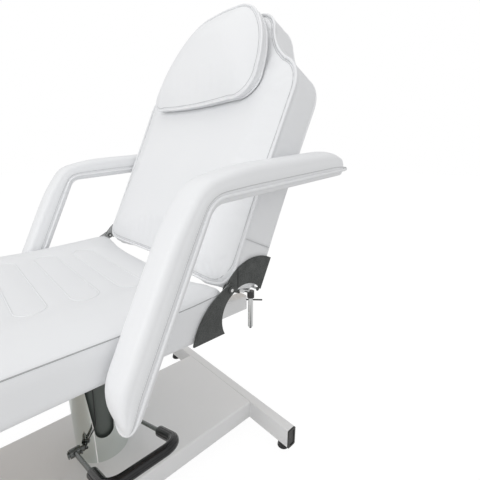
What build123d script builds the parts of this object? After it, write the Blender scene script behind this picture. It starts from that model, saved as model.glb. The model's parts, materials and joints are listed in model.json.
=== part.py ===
from build123d import *
import math
import os

os.makedirs("parts", exist_ok=True)

# Hydraulic beauty chair, millimetres. +Z is up, +Y points to the sitter's head,
# +X to the sitter's left, where the foot pedal and the release handle are.
# Everything is built with the lift column on the Z axis and the floor at z = 0.
# At the end the whole chair is moved along Y, so that its floor box is centred.

# Overlaps and fits
overrun = 5
slide_clearance = 0.05
part_gap = 0.3

# Base frame: two steel tubes joined by a wide folded hood
beam_length = 637
beam_height = 60
beam_width = 30
beam_wall = 2
beam_corner = 4
beam_clearance = 20
beam_pitch = 816
hood_width = 334
hood_wall = 3
hood_skirt = 55
hood_bend = 6
cap_thickness = 4
cap_inset = 3
cap_plug = 14
foot_radius = 17
foot_from_end = 26
foot_lip = 3
foot_bolt_radius = 4

# Lift column and hydraulic pump
cover_radius = 65
cover_wall = 2
cover_height = 325
slot_width = 44
slot_bottom = 70
slot_turn = -10
slot_flare = 5
pump_radius = 55
pump_height = 300
pump_flange_radius = 61
pump_flange_height = 8
pump_bolt_radius = 4
pump_bolt_circle = 100
pump_bolt_count = 4
gland_radius = 34
gland_height = 8
ram_radius = 22
ram_overlap = 264
ram_floor = 40

# Foot pedal
pedal_shaft_radius = 6
pedal_shaft_x = 35
pedal_shaft_height = 50
pedal_shaft_half = 94
bush_from_centre = 33
bush_length = 11
pedal_reach = 231
pedal_rise = 101
pedal_bar_radius = 5
pedal_arm_half = 78
pedal_bend = 34
sleeve_radius = 12
sleeve_ribs = 14
sleeve_rib_depth = 1.2
sleeve_on_arm = 60
hub_radius = 11
hub_length = 22
lug_length = 15
lug_thickness = 3
lug_rise = 14
wire_play = 0.8
split_pin_radius = 1.2
wire_radius = 1.2

# Seat frame
seat_underside = 478
rail_width = 30
rail_height = 40
rail_wall = 2
rail_from_side = 114
rail_front = -320
rail_rear = 331
cross_pitch = 190
head_plate_length = 250
head_plate_thickness = 8
hub_plate_radius = 34
hub_plate_depth = 26
head_bolt_radius = 5

# Seat
seat_half_width = 312
seat_front = -340
seat_rear = 180
seat_height = 81
board_thickness = 15
board_inset = 8
seat_corner = 40
crown = 14
crown_reach = 100
draw_in = 3
cover_tuck = 5
edge_round = 9
channel_from_side = 138
channel_width = 51
channel_pitch = 91
channel_first = 52
channel_count = 4
groove_width = 7
groove_depth = 3

# Backrest: its own directions run up the front face and square to it
recline = 25
pivot_y = 187.7
pivot_z = 569
back_side_step = 4
back_length = 712
back_start = 3
back_thickness = 89
back_corner = 35
back_crown = 14
back_crown_reach = 60
back_front = 1.5

# Head pillow
pillow_width_share = 0.7
pillow_length = 266
pillow_from_top = 316
pillow_base = 15
pillow_depth = 35
pillow_crown = 18
pillow_crown_reach = 42
tab_length = 150
tab_width = 50
tab_thickness = 2

# Hinge plates
plate_thickness = 4
pivot_bolt_radius = 5
pivot_head_radius = 7
pivot_head_height = 3.5
pivot_nut_height = 3
hinge_screw_radius = 2.5
hinge_screw_length = 18
upper_screw_first = 14
upper_screw_pitch = 20

# Ratchet and release lever
wheel_radius = 13
wheel_teeth = 24
tooth_depth = 2
tooth_lag_share = 0.08
release_width = 8
release_thickness = 4
release_drop = 5
release_jog_start = 36
release_jog_end = 52
release_length = 111
handle_from_side = 42
handle_y = 101.5
handle_z = -47.3
handle_radius = 6
handle_length = 92
handle_foot = 4
guide_wall = 2
guide_width = 26
guide_start = 64
guide_keeper = 16
guide_height = 44
guide_screw_height = 30
guide_screw_side = 8
collar_radius = 8.5
collar_length = 16
cross_pin_radius = 1.8
cross_pin_length = 38

# Leg rest
leg_gap = 12
leg_length = 540
leg_height = 81
leg_drop = 20
leg_pivot_gap = 6
leg_plate_length = 90
leg_plate_radius = 16

# Armrests
arm_from_side = 39
arm_half_width = 34
arm_height = 40
arm_base_depth = 13
arm_corner_y = 95
arm_corner_z = 767
arm_rise = 5
arm_lean = 25.5
arm_bend = 120
arm_top_length = 383
arm_front_length = 359
arm_bar_width = 12
arm_bar_height = 18
arm_bar_wall = 2
arm_bar_behind = 10
arm_bar_start = 9
strap_thickness = 4
strap_width = 40
strap_length = 150
knob_radius = 13
knob_height = 12
knob_lobes = 6
knob_from_rail = 23
knob_stud_radius = 3

# Derived levels
hood_top = beam_clearance + beam_height
rail_half_pitch = seat_half_width - rail_from_side
rail_outer_x = rail_half_pitch + rail_width / 2
head_plate_width = 2 * rail_outer_x
channel_half_length = seat_half_width - channel_from_side
back_half_width = seat_half_width - back_side_step
pillow_half_width = pillow_width_share * back_half_width
pillow_start = back_length - pillow_from_top
handle_x = seat_half_width - handle_from_side
arm_centre_x = seat_half_width + arm_from_side
socket_inner_x = rail_outer_x
socket_outer_x = seat_half_width - board_inset
arm_bar_inner_x = socket_inner_x + arm_bar_start
knob_x = rail_outer_x + knob_from_rail
shaft_z = hood_top + pedal_shaft_height
frame_bottom = seat_underside - rail_height
head_plate_bottom = frame_bottom - head_plate_thickness
board_top = seat_underside + board_thickness
seat_top = seat_underside + seat_height
pump_top = hood_top + pump_flange_height + pump_height
pump_bolt_x = 0.5 * pump_bolt_circle * math.cos(math.radians(45))

back_plane = Plane(
    origin=(0, pivot_y, pivot_z),
    x_dir=(1, 0, 0),
    z_dir=(0, -math.cos(math.radians(recline)), math.sin(math.radians(recline))),
)

release_plane = Plane(
    origin=(0, pivot_y, pivot_z),
    x_dir=(1, 0, 0),
    z_dir=(0, math.sin(math.radians(recline)), math.cos(math.radians(recline))),
)

parts = {}


def add(node, *solids):
    """Keep the solids of one named piece."""
    found = []
    for solid in solids:
        found += solid.solids()
    parts[node] = found


def face_of(*edges):
    """A face in the drawing plane, always turned the same way up."""
    face = Face(Wire(list(edges)))
    return face if face.normal_at().Z > 0 else -face


def plate_yz(face, x, thickness):
    """A flat plate whose outline is drawn in (y, z), from x towards +x."""
    return extrude(Plane.YZ.offset(x) * face, thickness, dir=(1, 0, 0))


def pin_x(x, y, z, radius, length):
    """A round pin along X that starts at x."""
    return extrude(Plane.YZ.offset(x) * Pos(y, z) * Circle(radius), length)


def pin_y(x, y, z, radius, length):
    """A round pin along Y that starts at y."""
    return extrude(Plane((x, y, z), x_dir=(1, 0, 0), z_dir=(0, 1, 0)) * Circle(radius), length)


def mirrored(solid):
    return mirror(solid, Plane.YZ)


def tube_section(width, height, wall, corner):
    outer = RectangleRounded(width, height, corner)
    inner = RectangleRounded(width - 2 * wall, height - 2 * wall, corner - wall)
    return outer - inner


def along(face, plane, distance):
    """Extrude a face drawn on a plane along the plane's own normal."""
    return extrude(plane * face, distance, dir=plane.z_dir)


# Base

def beam(y):
    middle = beam_clearance + beam_height / 2
    plane = Plane((-beam_length / 2, y, middle), x_dir=(0, 1, 0), z_dir=(1, 0, 0))
    tube = extrude(plane * tube_section(beam_width, beam_height, beam_wall, beam_corner), beam_length)
    for side in (-1, 1):
        x = side * (beam_length / 2 - foot_from_end)
        tube -= Pos(x, y, beam_clearance) * Cylinder(foot_bolt_radius, 2 * beam_wall + overrun)
    return tube


def end_cap(side, y):
    """Black plastic plug: a face that covers the tube's end, dished, and a stub that goes in."""
    middle = beam_clearance + beam_height / 2
    plane = Plane((side * beam_length / 2, y, middle), x_dir=(0, 1, 0), z_dir=(side, 0, 0))
    cover = extrude(plane * RectangleRounded(beam_width, beam_height, beam_corner), cap_thickness)
    dish = RectangleRounded(beam_width - 4 * cap_inset, beam_height - 4 * cap_inset, cap_inset)
    cover -= extrude(plane.offset(cap_thickness - cap_inset / 2) * dish, overrun)
    inside = beam_wall + slide_clearance
    stub = RectangleRounded(beam_width - 2 * inside, beam_height - 2 * inside, beam_corner - beam_wall)
    hollow = RectangleRounded(beam_width - 4 * cap_inset, beam_height - 4 * cap_inset, cap_inset / 2)
    return cover + extrude(plane * (stub - hollow), -cap_plug)


def rubber_foot(side, y):
    """Round foot turned from rubber, with a stepped pad and a hole for its bolt's head."""
    x = side * (beam_length / 2 - foot_from_end)
    profile = Polyline(
        (foot_bolt_radius, beam_clearance), (foot_radius - foot_lip, beam_clearance),
        (foot_radius, foot_lip), (foot_radius - foot_lip, 0), (2 * foot_bolt_radius, 0),
        (2 * foot_bolt_radius, foot_lip * 2), (foot_bolt_radius, foot_lip * 2), close=True,
    )
    return Pos(x, y, 0) * revolve(Plane.XZ * make_face(profile), Axis.Z)


def foot_bolt(side, y):
    x = side * (beam_length / 2 - foot_from_end)
    reach = beam_clearance - 2 * foot_lip + beam_wall + foot_lip
    shank = Pos(x, y, 2 * foot_lip + reach / 2) * Cylinder(foot_bolt_radius - slide_clearance, reach)
    head = Pos(x, y, 2 * foot_lip - foot_lip / 2) * Cylinder(2 * foot_bolt_radius - part_gap, foot_lip)
    return shank + head


def hood():
    """Folded steel hood: flat top level with the tubes, a skirt on each side, open to the tubes."""
    length = beam_pitch - beam_width
    half = hood_width / 2
    outer = RectangleRounded(hood_width, 2 * hood_skirt, hood_bend)
    inner = RectangleRounded(hood_width - 2 * hood_wall, 2 * (hood_skirt - hood_wall), hood_bend - hood_wall)
    keep = Pos(0, hood_skirt / 2) * Rectangle(hood_width + overrun, hood_skirt)
    plane = Plane((0, -length / 2, hood_top - hood_skirt), x_dir=(-1, 0, 0), z_dir=(0, 1, 0))
    shell = extrude(plane * ((outer - inner) & keep), length)
    for turn in range(pump_bolt_count):
        place = Rot(0, 0, 45 + 90 * turn) * Pos(pump_bolt_circle / 2, 0, hood_top)
        shell -= place * Cylinder(pump_bolt_radius + slide_clearance, 2 * hood_wall + overrun)
    return shell


# Column

def column_cover():
    """Chrome tube with a long slot, closed at the bottom by a half circle."""
    tube = Cylinder(cover_radius, cover_height) - Cylinder(cover_radius - cover_wall, cover_height)
    tube = Pos(0, 0, hood_top + cover_height / 2) * tube
    straight = cover_height - slot_bottom
    half = slot_width / 2
    flare = half + straight * math.tan(math.radians(slot_flare))
    sides = Polyline((-half, 0), (half, 0), (flare, straight), (-flare, straight), close=True)
    outline = make_face(sides) + Circle(half)
    plane = Plane((0, 0, hood_top + slot_bottom + slot_width / 2), x_dir=(0, 1, 0), z_dir=(1, 0, 0))
    cutter = extrude(plane * outline, cover_radius + overrun)
    tube -= Rot(0, 0, slot_turn) * cutter
    tube -= pin_y(pedal_shaft_x, -cover_radius, shaft_z, pedal_shaft_radius + 2 * split_pin_radius, 2 * cover_radius)
    return tube


def pump_body():
    """Dark pump casting: flange, reservoir, a blind bore for the ram and a cross bore for the shaft."""
    flange = Pos(0, 0, hood_top + pump_flange_height / 2) * Cylinder(pump_flange_radius, pump_flange_height)
    body = Pos(0, 0, hood_top + pump_flange_height + pump_height / 2) * Cylinder(pump_radius, pump_height)
    solid = flange + body
    top_edge = solid.edges().filter_by(GeomType.CIRCLE).sort_by(Axis.Z)[-1]
    solid = fillet(top_edge, cover_wall * 2)
    depth = pump_flange_height + pump_height - ram_floor
    solid -= Pos(0, 0, pump_top - depth / 2) * Cylinder(ram_radius + slide_clearance, depth)
    solid -= Pos(0, 0, pump_top - gland_height / 2) * Cylinder(gland_radius, gland_height)
    solid -= pin_y(pedal_shaft_x, -pump_radius, shaft_z, pedal_shaft_radius + cover_wall, 2 * pump_radius)
    for turn in range(pump_bolt_count):
        place = Rot(0, 0, 45 + 90 * turn) * Pos(pump_bolt_circle / 2, 0, hood_top + pump_flange_height / 2)
        solid -= place * Cylinder(pump_bolt_radius + slide_clearance, pump_flange_height + part_gap)
        relief = Pos(0, 0, pump_flange_height) * Cylinder(2 * pump_bolt_radius + part_gap, pump_flange_height)
        solid -= place * relief
    return solid


def pump_bolts():
    bolts = []
    for turn in range(pump_bolt_count):
        place = Rot(0, 0, 45 + 90 * turn) * Pos(pump_bolt_circle / 2, 0, hood_top + pump_flange_height)
        length = pump_flange_height + hood_wall + 2 * hood_wall
        shank = Pos(0, 0, -length / 2) * Cylinder(pump_bolt_radius, length)
        head = extrude(RegularPolygon(2 * pump_bolt_radius, 6), pump_bolt_radius * 1.4)
        nut = extrude(RegularPolygon(2 * pump_bolt_radius, 6), -pump_bolt_radius)
        nut = Pos(0, 0, -pump_flange_height - hood_wall) * nut
        bolts.append(place * (shank + head + nut))
    return bolts


def ram_gland():
    ring = Cylinder(gland_radius - slide_clearance, gland_height)
    ring -= Cylinder(ram_radius + slide_clearance, gland_height)
    return Pos(0, 0, pump_top - gland_height / 2) * ring


def lift_ram():
    top = head_plate_bottom
    bottom = pump_top - ram_overlap
    ram = Pos(0, 0, (top + bottom) / 2) * Cylinder(ram_radius, top - bottom)
    return chamfer(ram.edges().filter_by(GeomType.CIRCLE).sort_by(Axis.Z)[0], cover_wall)


def shaft_bushes():
    bushes = []
    radius = pedal_shaft_radius + cover_wall - slide_clearance
    for side in (-1, 1):
        y = side * bush_from_centre - bush_length / 2
        bush = pin_y(pedal_shaft_x, y, shaft_z, radius, bush_length)
        bore = pedal_shaft_radius + slide_clearance
        bushes.append(bush - pin_y(pedal_shaft_x, y, shaft_z, bore, bush_length))
    return bushes


# Pedal

pedal_slope = math.atan2(pedal_rise, pedal_reach)


def pedal_path():
    """Centre line of the bent bar: out along one arm, round to the tread, and back."""
    start = (pedal_shaft_x, -pedal_arm_half, shaft_z)
    corner = (pedal_shaft_x + pedal_reach, -pedal_arm_half, shaft_z + pedal_rise)
    far_corner = (corner[0], pedal_arm_half, corner[2])
    end = (pedal_shaft_x, pedal_arm_half, shaft_z)
    return FilletPolyline(start, corner, far_corner, end, radius=pedal_bend)


def pedal_bar():
    path = pedal_path()
    section = Plane(path @ 0, z_dir=path % 0) * Circle(pedal_bar_radius)
    bar = sweep(section, path=path)
    for y in (-pedal_arm_half, pedal_arm_half):
        hub = pin_y(pedal_shaft_x, y - hub_length / 2, shaft_z, hub_radius, hub_length)
        bar += hub
        bar -= pin_y(pedal_shaft_x, y - hub_length, shaft_z, pedal_shaft_radius, 2 * hub_length)
    return bar


def sleeve_section():
    """Ribbed ring: a grooved outside, and a bore that fits the bar."""
    ring = Circle(sleeve_radius)
    for n in range(sleeve_ribs):
        turn = 360 / sleeve_ribs * n
        groove = Rot(0, 0, turn) * Pos(sleeve_radius, 0) * Rectangle(2 * sleeve_rib_depth, sleeve_rib_depth)
        ring -= groove
    return ring - Circle(pedal_bar_radius + slide_clearance)


def pedal_sleeve():
    """Rubber sleeve on the tread, round both bends and part of the way along the arms."""
    length = math.hypot(pedal_reach, pedal_rise)
    direction = Vector(math.cos(pedal_slope), 0, math.sin(pedal_slope))
    base = Vector(pedal_shaft_x, -pedal_arm_half, shaft_z)
    start = base + direction * (length - pedal_bend - sleeve_on_arm)
    corner = base + direction * length
    far_corner = Vector(corner.X, pedal_arm_half, corner.Z)
    end = Vector(start.X, pedal_arm_half, start.Z)
    path = FilletPolyline(start, corner, far_corner, end, radius=pedal_bend)
    return sweep(Plane(path @ 0, z_dir=path % 0) * sleeve_section(), path=path)


def split_pins():
    pins = []
    for side in (-1, 1):
        y = side * (pedal_shaft_half - 2 * split_pin_radius)
        pins.append(Pos(pedal_shaft_x, y, shaft_z) * Cylinder(split_pin_radius, 4 * pedal_shaft_radius))
    return pins


def pedal_shaft():
    shaft = pin_y(pedal_shaft_x, -pedal_shaft_half, shaft_z, pedal_shaft_radius, 2 * pedal_shaft_half)
    for pin in split_pins():
        shaft -= pin
    return shaft


def valve_lug():
    """Ear on the pedal shaft that carries the valve wire."""
    y = hub_length / 2 - pedal_arm_half
    disc = Circle(hub_radius * 0.9) + Pos(0, lug_length / 2) * Rectangle(hub_radius, lug_length)
    disc += Pos(0, lug_length) * Circle(hub_radius / 2)
    disc -= Circle(pedal_shaft_radius)
    disc -= Pos(0, lug_length) * Circle(wire_radius + wire_play)
    plane = Plane((pedal_shaft_x, y, shaft_z), x_dir=(-1, 0, 0), z_dir=(0, 1, 0))
    return extrude(plane * Rot(0, 0, 90 - lug_rise) * disc, lug_thickness, dir=(0, 1, 0))


def around_column(radius, turn, share):
    """A point at a distance from the column's axis, and at a share of the cover's height over the shaft."""
    angle = math.radians(turn)
    return radius * math.cos(angle), radius * math.sin(angle), shaft_z + share * cover_height


# Turns about the column and height shares of the valve wire, outside and inside the cover
wire_outside_shares = [(-50, 0.035), (-40, 0.108), (-31, 0.163)]
wire_inside_shares = [(-26.5, 0.206), (-23, 0.6), (-23, 0.8)]


def valve_wire():
    """Bent wire from the ear round the cover and up through the slot to the valve."""
    rise = math.radians(lug_rise)
    x = pedal_shaft_x + lug_length * math.cos(rise)
    z = shaft_z + lug_length * math.sin(rise)
    eye = hub_length / 2 - pedal_arm_half
    points = [(x, eye - lug_thickness, z), (x, eye + 3 * lug_thickness, z)]
    points += [around_column(cover_radius + 3 * wire_radius, t, h) for t, h in wire_outside_shares]
    inside = cover_radius - cover_wall - 2 * wire_radius
    points += [around_column(inside, t, h) for t, h in wire_inside_shares]
    path = FilletPolyline(*points, radius=lug_thickness)
    return sweep(Plane(path @ 0, z_dir=path % 0) * Circle(wire_radius), path=path)


# Seat frame

def rail(side):
    """Long tube under the seat, closed with a welded plate at both ends."""
    length = rail_rear - rail_front
    middle = seat_underside - rail_height / 2
    plane = Plane((side * rail_half_pitch, rail_front, middle), x_dir=(1, 0, 0), z_dir=(0, -1, 0))
    tube = along(tube_section(rail_width, rail_height, rail_wall, beam_corner), plane, -length)
    lid = RectangleRounded(rail_width, rail_height, beam_corner)
    return tube + along(lid, plane, -rail_wall) + along(lid, plane.offset(-length), rail_wall)


def cross_tubes():
    span = 2 * rail_half_pitch - rail_width
    tubes = []
    middle = seat_underside - rail_height / 2
    for side in (-1, 1):
        plane = Plane((-span / 2, side * cross_pitch / 2, middle), x_dir=(0, 1, 0), z_dir=(1, 0, 0))
        tubes.append(extrude(plane * tube_section(rail_width, rail_height, rail_wall, beam_corner), span))
    return tubes


def head_bolt_places():
    places = []
    for x in (-1, 1):
        for y in (-1, 1):
            places.append((x * (head_plate_width / 2 - rail_width / 2), y * cross_pitch / 2))
    return places


def head_plate():
    """Steel plate under the seat frame with a gusseted hub that takes the ram."""
    outline = RectangleRounded(head_plate_width, head_plate_length, seat_corner)
    plate = extrude(Pos(0, 0, head_plate_bottom) * outline, head_plate_thickness)
    hub = Pos(0, 0, head_plate_bottom - hub_plate_depth / 2) * Cylinder(hub_plate_radius, hub_plate_depth)
    rib = Pos(0, 0, head_plate_bottom)
    web = Polyline(
        (hub_plate_radius / 2, 0), (head_plate_length / 2 - seat_corner / 2, 0),
        (hub_plate_radius + part_gap, -hub_plate_depth), (hub_plate_radius / 2, -hub_plate_depth), close=True,
    )
    solid = plate + hub
    for turn in range(4):
        gusset = extrude(Plane.XZ * make_face(web), head_plate_thickness / 2, both=True)
        solid += rib * Rot(0, 0, 90 * turn) * gusset
    socket = Cylinder(ram_radius, hub_plate_depth)
    solid -= Pos(0, 0, head_plate_bottom - hub_plate_depth / 2) * socket
    for x, y in head_bolt_places():
        solid -= Pos(x, y, head_plate_bottom) * Cylinder(head_bolt_radius + slide_clearance, 4 * head_plate_thickness)
    return solid


def head_bolts():
    bolts = []
    for x, y in head_bolt_places():
        place = Pos(x, y, head_plate_bottom)
        head = extrude(RegularPolygon(2 * head_bolt_radius, 6), -head_bolt_radius)
        shank = Pos(0, 0, head_plate_thickness / 2) * Cylinder(head_bolt_radius, head_plate_thickness)
        bolts.append(place * (head + shank))
    return bolts


# Soft pieces

def rounded_outline(half_width, low, high, corner, inset, draw):
    """A rectangle with round corners whose sides bow inwards between them."""
    w = half_width - inset
    a = low + inset
    b = high - inset
    r = corner + inset / 2
    d = r * (1 - math.sqrt(0.5))
    return face_of(
        ThreePointArc((-w + r, a), (0, a + draw), (w - r, a)),
        ThreePointArc((w - r, a), (w - d, a + d), (w, a + r)),
        ThreePointArc((w, a + r), (w - draw, (a + b) / 2), (w, b - r)),
        ThreePointArc((w, b - r), (w - d, b - d), (w - r, b)),
        ThreePointArc((w - r, b), (0, b - draw), (-w + r, b)),
        ThreePointArc((-w + r, b), (-w + d, b - d), (-w, b - r)),
        ThreePointArc((-w, b - r), (-w + draw, (a + b) / 2), (-w, a + r)),
        ThreePointArc((-w, a + r), (-w + d, a + d), (-w + r, a)),
    )


def cushion_levels(height, rise, reach):
    """Heights above the board and how far the cover draws in there, from the tuck to the crown."""
    return [
        (0, cover_tuck),
        (edge_round, 0),
        (height - edge_round, 0),
        (height, cover_tuck / 2),
        (height + rise / 2, 0.15 * reach),
        (height + rise * 0.8, 0.45 * reach),
        (height + rise, reach),
    ]


def board_pocket(outline):
    """Room for a board in the underside of a cushion; the cover is turned in around it."""
    return extrude(Pos(0, 0, -board_thickness) * outline, 2 * board_thickness + part_gap, dir=(0, 0, 1))


def seat_cushion():
    sections = []
    for level, inset in cushion_levels(seat_height, crown, crown_reach):
        outline = rounded_outline(seat_half_width, seat_front, seat_rear, seat_corner, inset, draw_in)
        sections.append(Pos(0, 0, seat_underside + level) * outline)
    cushion = loft(sections, ruled=True)
    pocket = rounded_outline(seat_half_width, seat_front, seat_rear, seat_corner, board_inset - part_gap, draw_in)
    cushion -= Pos(0, 0, seat_underside) * board_pocket(pocket)
    top = seat_underside + seat_height + crown
    for n in range(channel_count):
        cushion -= Pos(0, channel_first - n * channel_pitch, top) * channel_loop()
    for tool in both_sides(*lower_screws(), *leg_seat_screws()):
        cushion -= tool
    return cushion


def seat_board():
    outline = rounded_outline(seat_half_width, seat_front, seat_rear, seat_corner, board_inset, draw_in)
    board = extrude(Pos(0, 0, seat_underside) * outline, board_thickness)
    for tool in both_sides(*lower_screws(), *leg_seat_screws()):
        board -= tool
    return board


def both_sides(*tools):
    return list(tools) + [mirrored(tool) for tool in tools]


def channel_loop():
    """Cutter for one sewn channel: a V groove round a long loop."""
    r = channel_width / 2
    straight = 2 * (channel_half_length - r)
    half = groove_width / 2
    vee = Polyline((-half, 0), (0, -groove_depth), (half, 0), (0, groove_depth), close=True)
    side = extrude(Plane.YZ.offset(-straight / 2) * Pos(r, 0) * make_face(vee), straight)
    end = revolve(Plane.XZ * Pos(r, 0) * make_face(vee), Axis.Z, 180)
    end = Rot(0, 0, -90) * end
    loop = side + mirror(side, Plane.XZ)
    return loop + Pos(straight / 2, 0, 0) * end + mirror(Pos(straight / 2, 0, 0) * end, Plane.YZ)


# Points of the backrest's outline above its corners, as shares of its half width and
# length, with the direction that the edge faces there in degrees from sideways.
shoulder_shares = [(1.0, 0.618), (0.965, 0.692), (0.835, 0.745)]
neck_shares = [(0.66, 0.815), (0.567, 0.889)]
head_shares = [(0.49, 0.962), (0.31, 0.993)]
shoulder_facing = [0, 30, 50]
neck_facing = [40, 15]
head_facing = [42, 80]


def back_point(share, facing, inset):
    turn = math.radians(facing)
    x = share[0] * back_half_width - inset * math.cos(turn)
    u = share[1] * back_length - inset * math.sin(turn)
    return x, u


def back_outline(inset):
    """Half a backrest is listed, and the other half is its mirror image."""
    w = back_half_width - inset
    low = back_start + inset
    r = back_corner + inset / 2
    d = r * (1 - math.sqrt(0.5))
    s = [back_point(p, f, inset) for p, f in zip(shoulder_shares, shoulder_facing)]
    n = [back_point(p, f, inset) for p, f in zip(neck_shares, neck_facing)]
    h = [back_point(p, f, inset) for p, f in zip(head_shares, head_facing)]
    top = (0, back_length - inset)
    edges = [
        ThreePointArc((w - r, low), (w - d, low + d), (w, low + r)),
        ThreePointArc((w, low + r), (w - draw_in, (low + r + s[0][1]) / 2), s[0]),
        ThreePointArc(s[0], s[1], s[2]),
        ThreePointArc(s[2], n[0], n[1]),
        ThreePointArc(n[1], h[0], h[1]),
    ]
    other = [edge.mirror(Plane.YZ) for edge in edges]
    bottom = ThreePointArc((-w + r, low), (0, low + draw_in), (w - r, low))
    across = ThreePointArc(h[1], top, (-h[1][0], h[1][1]))
    return Face(Wire([bottom] + edges + [across] + other))


def back_board():
    board = extrude(back_outline(board_inset), board_thickness)
    board = back_plane * Pos(0, 0, -back_thickness - back_front) * board
    for tool in both_sides(*upper_screws()) + guide_screws():
        board -= tool
    return board


def back_cushion():
    sections = []
    base = back_plane.offset(-back_thickness - back_front)
    for level, inset in cushion_levels(back_thickness, back_crown, back_crown_reach):
        sections.append(base.offset(level) * back_outline(inset))
    cushion = loft(sections, ruled=True)
    pocket = board_pocket(back_outline(board_inset - part_gap))
    cushion -= base.location * pocket
    for tool in both_sides(*upper_screws()):
        cushion -= tool
    return cushion


# The pillow's outline, as shares of its half width and length
pillow_side_shares = [(0.72, 0.0), (0.99, 0.075), (0.985, 0.27)]
pillow_upper_shares = [(0.87, 0.62), (0.67, 0.88)]
pillow_top_shares = [(0.5, 0.985), (0.27, 1.0)]
pillow_side_facing = [-80, -35, 8]
pillow_upper_facing = [25, 45]
pillow_top_facing = [70, 88]
pillow_bottom_share = -0.02


def pillow_outline(inset):
    def place(share, facing):
        turn = math.radians(facing)
        x = share[0] * pillow_half_width - inset * math.cos(turn)
        return x, pillow_start + share[1] * pillow_length - inset * math.sin(turn)

    s = [place(p, f) for p, f in zip(pillow_side_shares, pillow_side_facing)]
    m = [place(p, f) for p, f in zip(pillow_upper_shares, pillow_upper_facing)]
    t = [place(p, f) for p, f in zip(pillow_top_shares, pillow_top_facing)]
    bottom = (0, pillow_start + pillow_bottom_share * pillow_length + inset)
    top = (0, pillow_start + pillow_length * (1 - pillow_bottom_share / 2) - inset)
    edges = [
        ThreePointArc(s[0], s[1], s[2]),
        ThreePointArc(s[2], m[0], m[1]),
        ThreePointArc(m[1], t[0], t[1]),
    ]
    other = [edge.mirror(Plane.YZ) for edge in edges]
    under = ThreePointArc((-s[0][0], s[0][1]), bottom, s[0])
    over = ThreePointArc(t[1], top, (-t[1][0], t[1][1]))
    return Face(Wire([under] + edges + [over] + other))


def head_pillow():
    base = back_plane.offset(pillow_base + tab_thickness - back_front)
    levels = cushion_levels(pillow_depth, pillow_crown, pillow_crown_reach)
    return loft([base.offset(level) * pillow_outline(inset) for level, inset in levels], ruled=True)


def pillow_tabs():
    middle = pillow_start + pillow_length / 2
    tabs = []
    for side in (-1, 1):
        plane = back_plane.offset(back_crown - back_front + part_gap)
        tabs.append(extrude(plane * Pos(side * tab_width, middle) * Rectangle(tab_width, tab_length), tab_thickness))
    return tabs


# Hinge plates. The places are shares of the plate's own height and reach, from the pivot.
lower_plate_height = pivot_z - seat_underside
lower_plate_reach = 94.5
upper_plate_reach = 122
upper_plate_height = 49
lower_outer_shares = [(-1.0, -1.0), (-0.70, -0.36), (-0.17, 0.06)]
lower_top_shares = [(0.0, 0.15), (0.20, -0.03)]
lower_inner_shares = [(0.16, -0.06), (-0.17, -0.35), (-0.19, -1.0)]
upper_outer_shares = [(-0.05, 0.24), (0.42, 1.02), (1.0, 0.84)]
upper_inner_shares = [(0.74, -0.52), (0.44, -0.03), (0.10, -0.20)]


def from_pivot(share, reach, height):
    return pivot_y + share[0] * reach, pivot_z + share[1] * height


def lower_plate_face():
    """Crescent that climbs from the seat's side to the pivot."""
    o = [from_pivot(p, lower_plate_reach, lower_plate_height) for p in lower_outer_shares]
    t = [from_pivot(p, lower_plate_reach, lower_plate_height) for p in lower_top_shares]
    i = [from_pivot(p, lower_plate_reach, lower_plate_height) for p in lower_inner_shares]
    face = face_of(
        ThreePointArc(o[0], o[1], o[2]), Line(o[2], t[0]), Line(t[0], t[1]), Line(t[1], i[0]),
        ThreePointArc(i[0], i[1], i[2]), Line(i[2], o[0]),
    )
    return face + Pos(pivot_y, pivot_z) * Circle(wheel_radius - tooth_depth)


def upper_plate_face():
    """Crescent from the pivot over the backrest's lower corner to its rear face."""
    o = [from_pivot(p, upper_plate_reach, upper_plate_height) for p in upper_outer_shares]
    i = [from_pivot(p, upper_plate_reach, upper_plate_height) for p in upper_inner_shares]
    face = face_of(
        ThreePointArc(o[0], o[1], o[2]), Line(o[2], i[0]), ThreePointArc(i[0], i[1], i[2]), Line(i[2], o[0]),
    )
    return face + Pos(pivot_y, pivot_z) * Circle(wheel_radius - tooth_depth)


def lower_plate_x():
    return seat_half_width + 2 * part_gap


def upper_plate_x():
    return lower_plate_x() - part_gap - plate_thickness


def lower_screw_places():
    low = seat_underside + board_thickness / 2
    return [(pivot_y - lower_plate_reach * share, low) for share in (0.38, 0.6, 0.82)]


def upper_screw_places():
    turn = math.radians(recline)
    depth = back_thickness + back_front - board_thickness / 2
    places = []
    for n in range(3):
        u = upper_screw_first + n * upper_screw_pitch
        y = pivot_y + u * math.sin(turn) + depth * math.cos(turn)
        places.append((y, pivot_z + u * math.cos(turn) - depth * math.sin(turn)))
    return places


def lower_screws():
    return [screw_tool(lower_plate_x(), y, z) for y, z in lower_screw_places()]


def upper_screws():
    return [screw_tool(upper_plate_x(), y, z) for y, z in upper_screw_places()]


def lower_plate():
    plate = plate_yz(lower_plate_face(), lower_plate_x(), plate_thickness)
    plate -= pin_x(0, pivot_y, pivot_z, pivot_bolt_radius + slide_clearance, 2 * seat_half_width)
    for tool in lower_screws():
        plate -= tool
    return plate


def upper_plate():
    plate = plate_yz(upper_plate_face(), upper_plate_x(), plate_thickness)
    plate -= pin_x(0, pivot_y, pivot_z, pivot_bolt_radius + slide_clearance, 2 * seat_half_width)
    for tool in upper_screws():
        plate -= tool
    return plate


def screw_tool(x, y, z):
    """Countersunk screw that holds a plate to the edge of a board."""
    axis = Plane((x + plate_thickness, y, z), x_dir=(0, 1, 0), z_dir=(-1, 0, 0))
    mouth = axis * Circle(2 * hinge_screw_radius)
    cone = loft([mouth, axis.offset(hinge_screw_radius) * Circle(hinge_screw_radius)])
    return cone + extrude(axis * Circle(hinge_screw_radius), hinge_screw_length)


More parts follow.
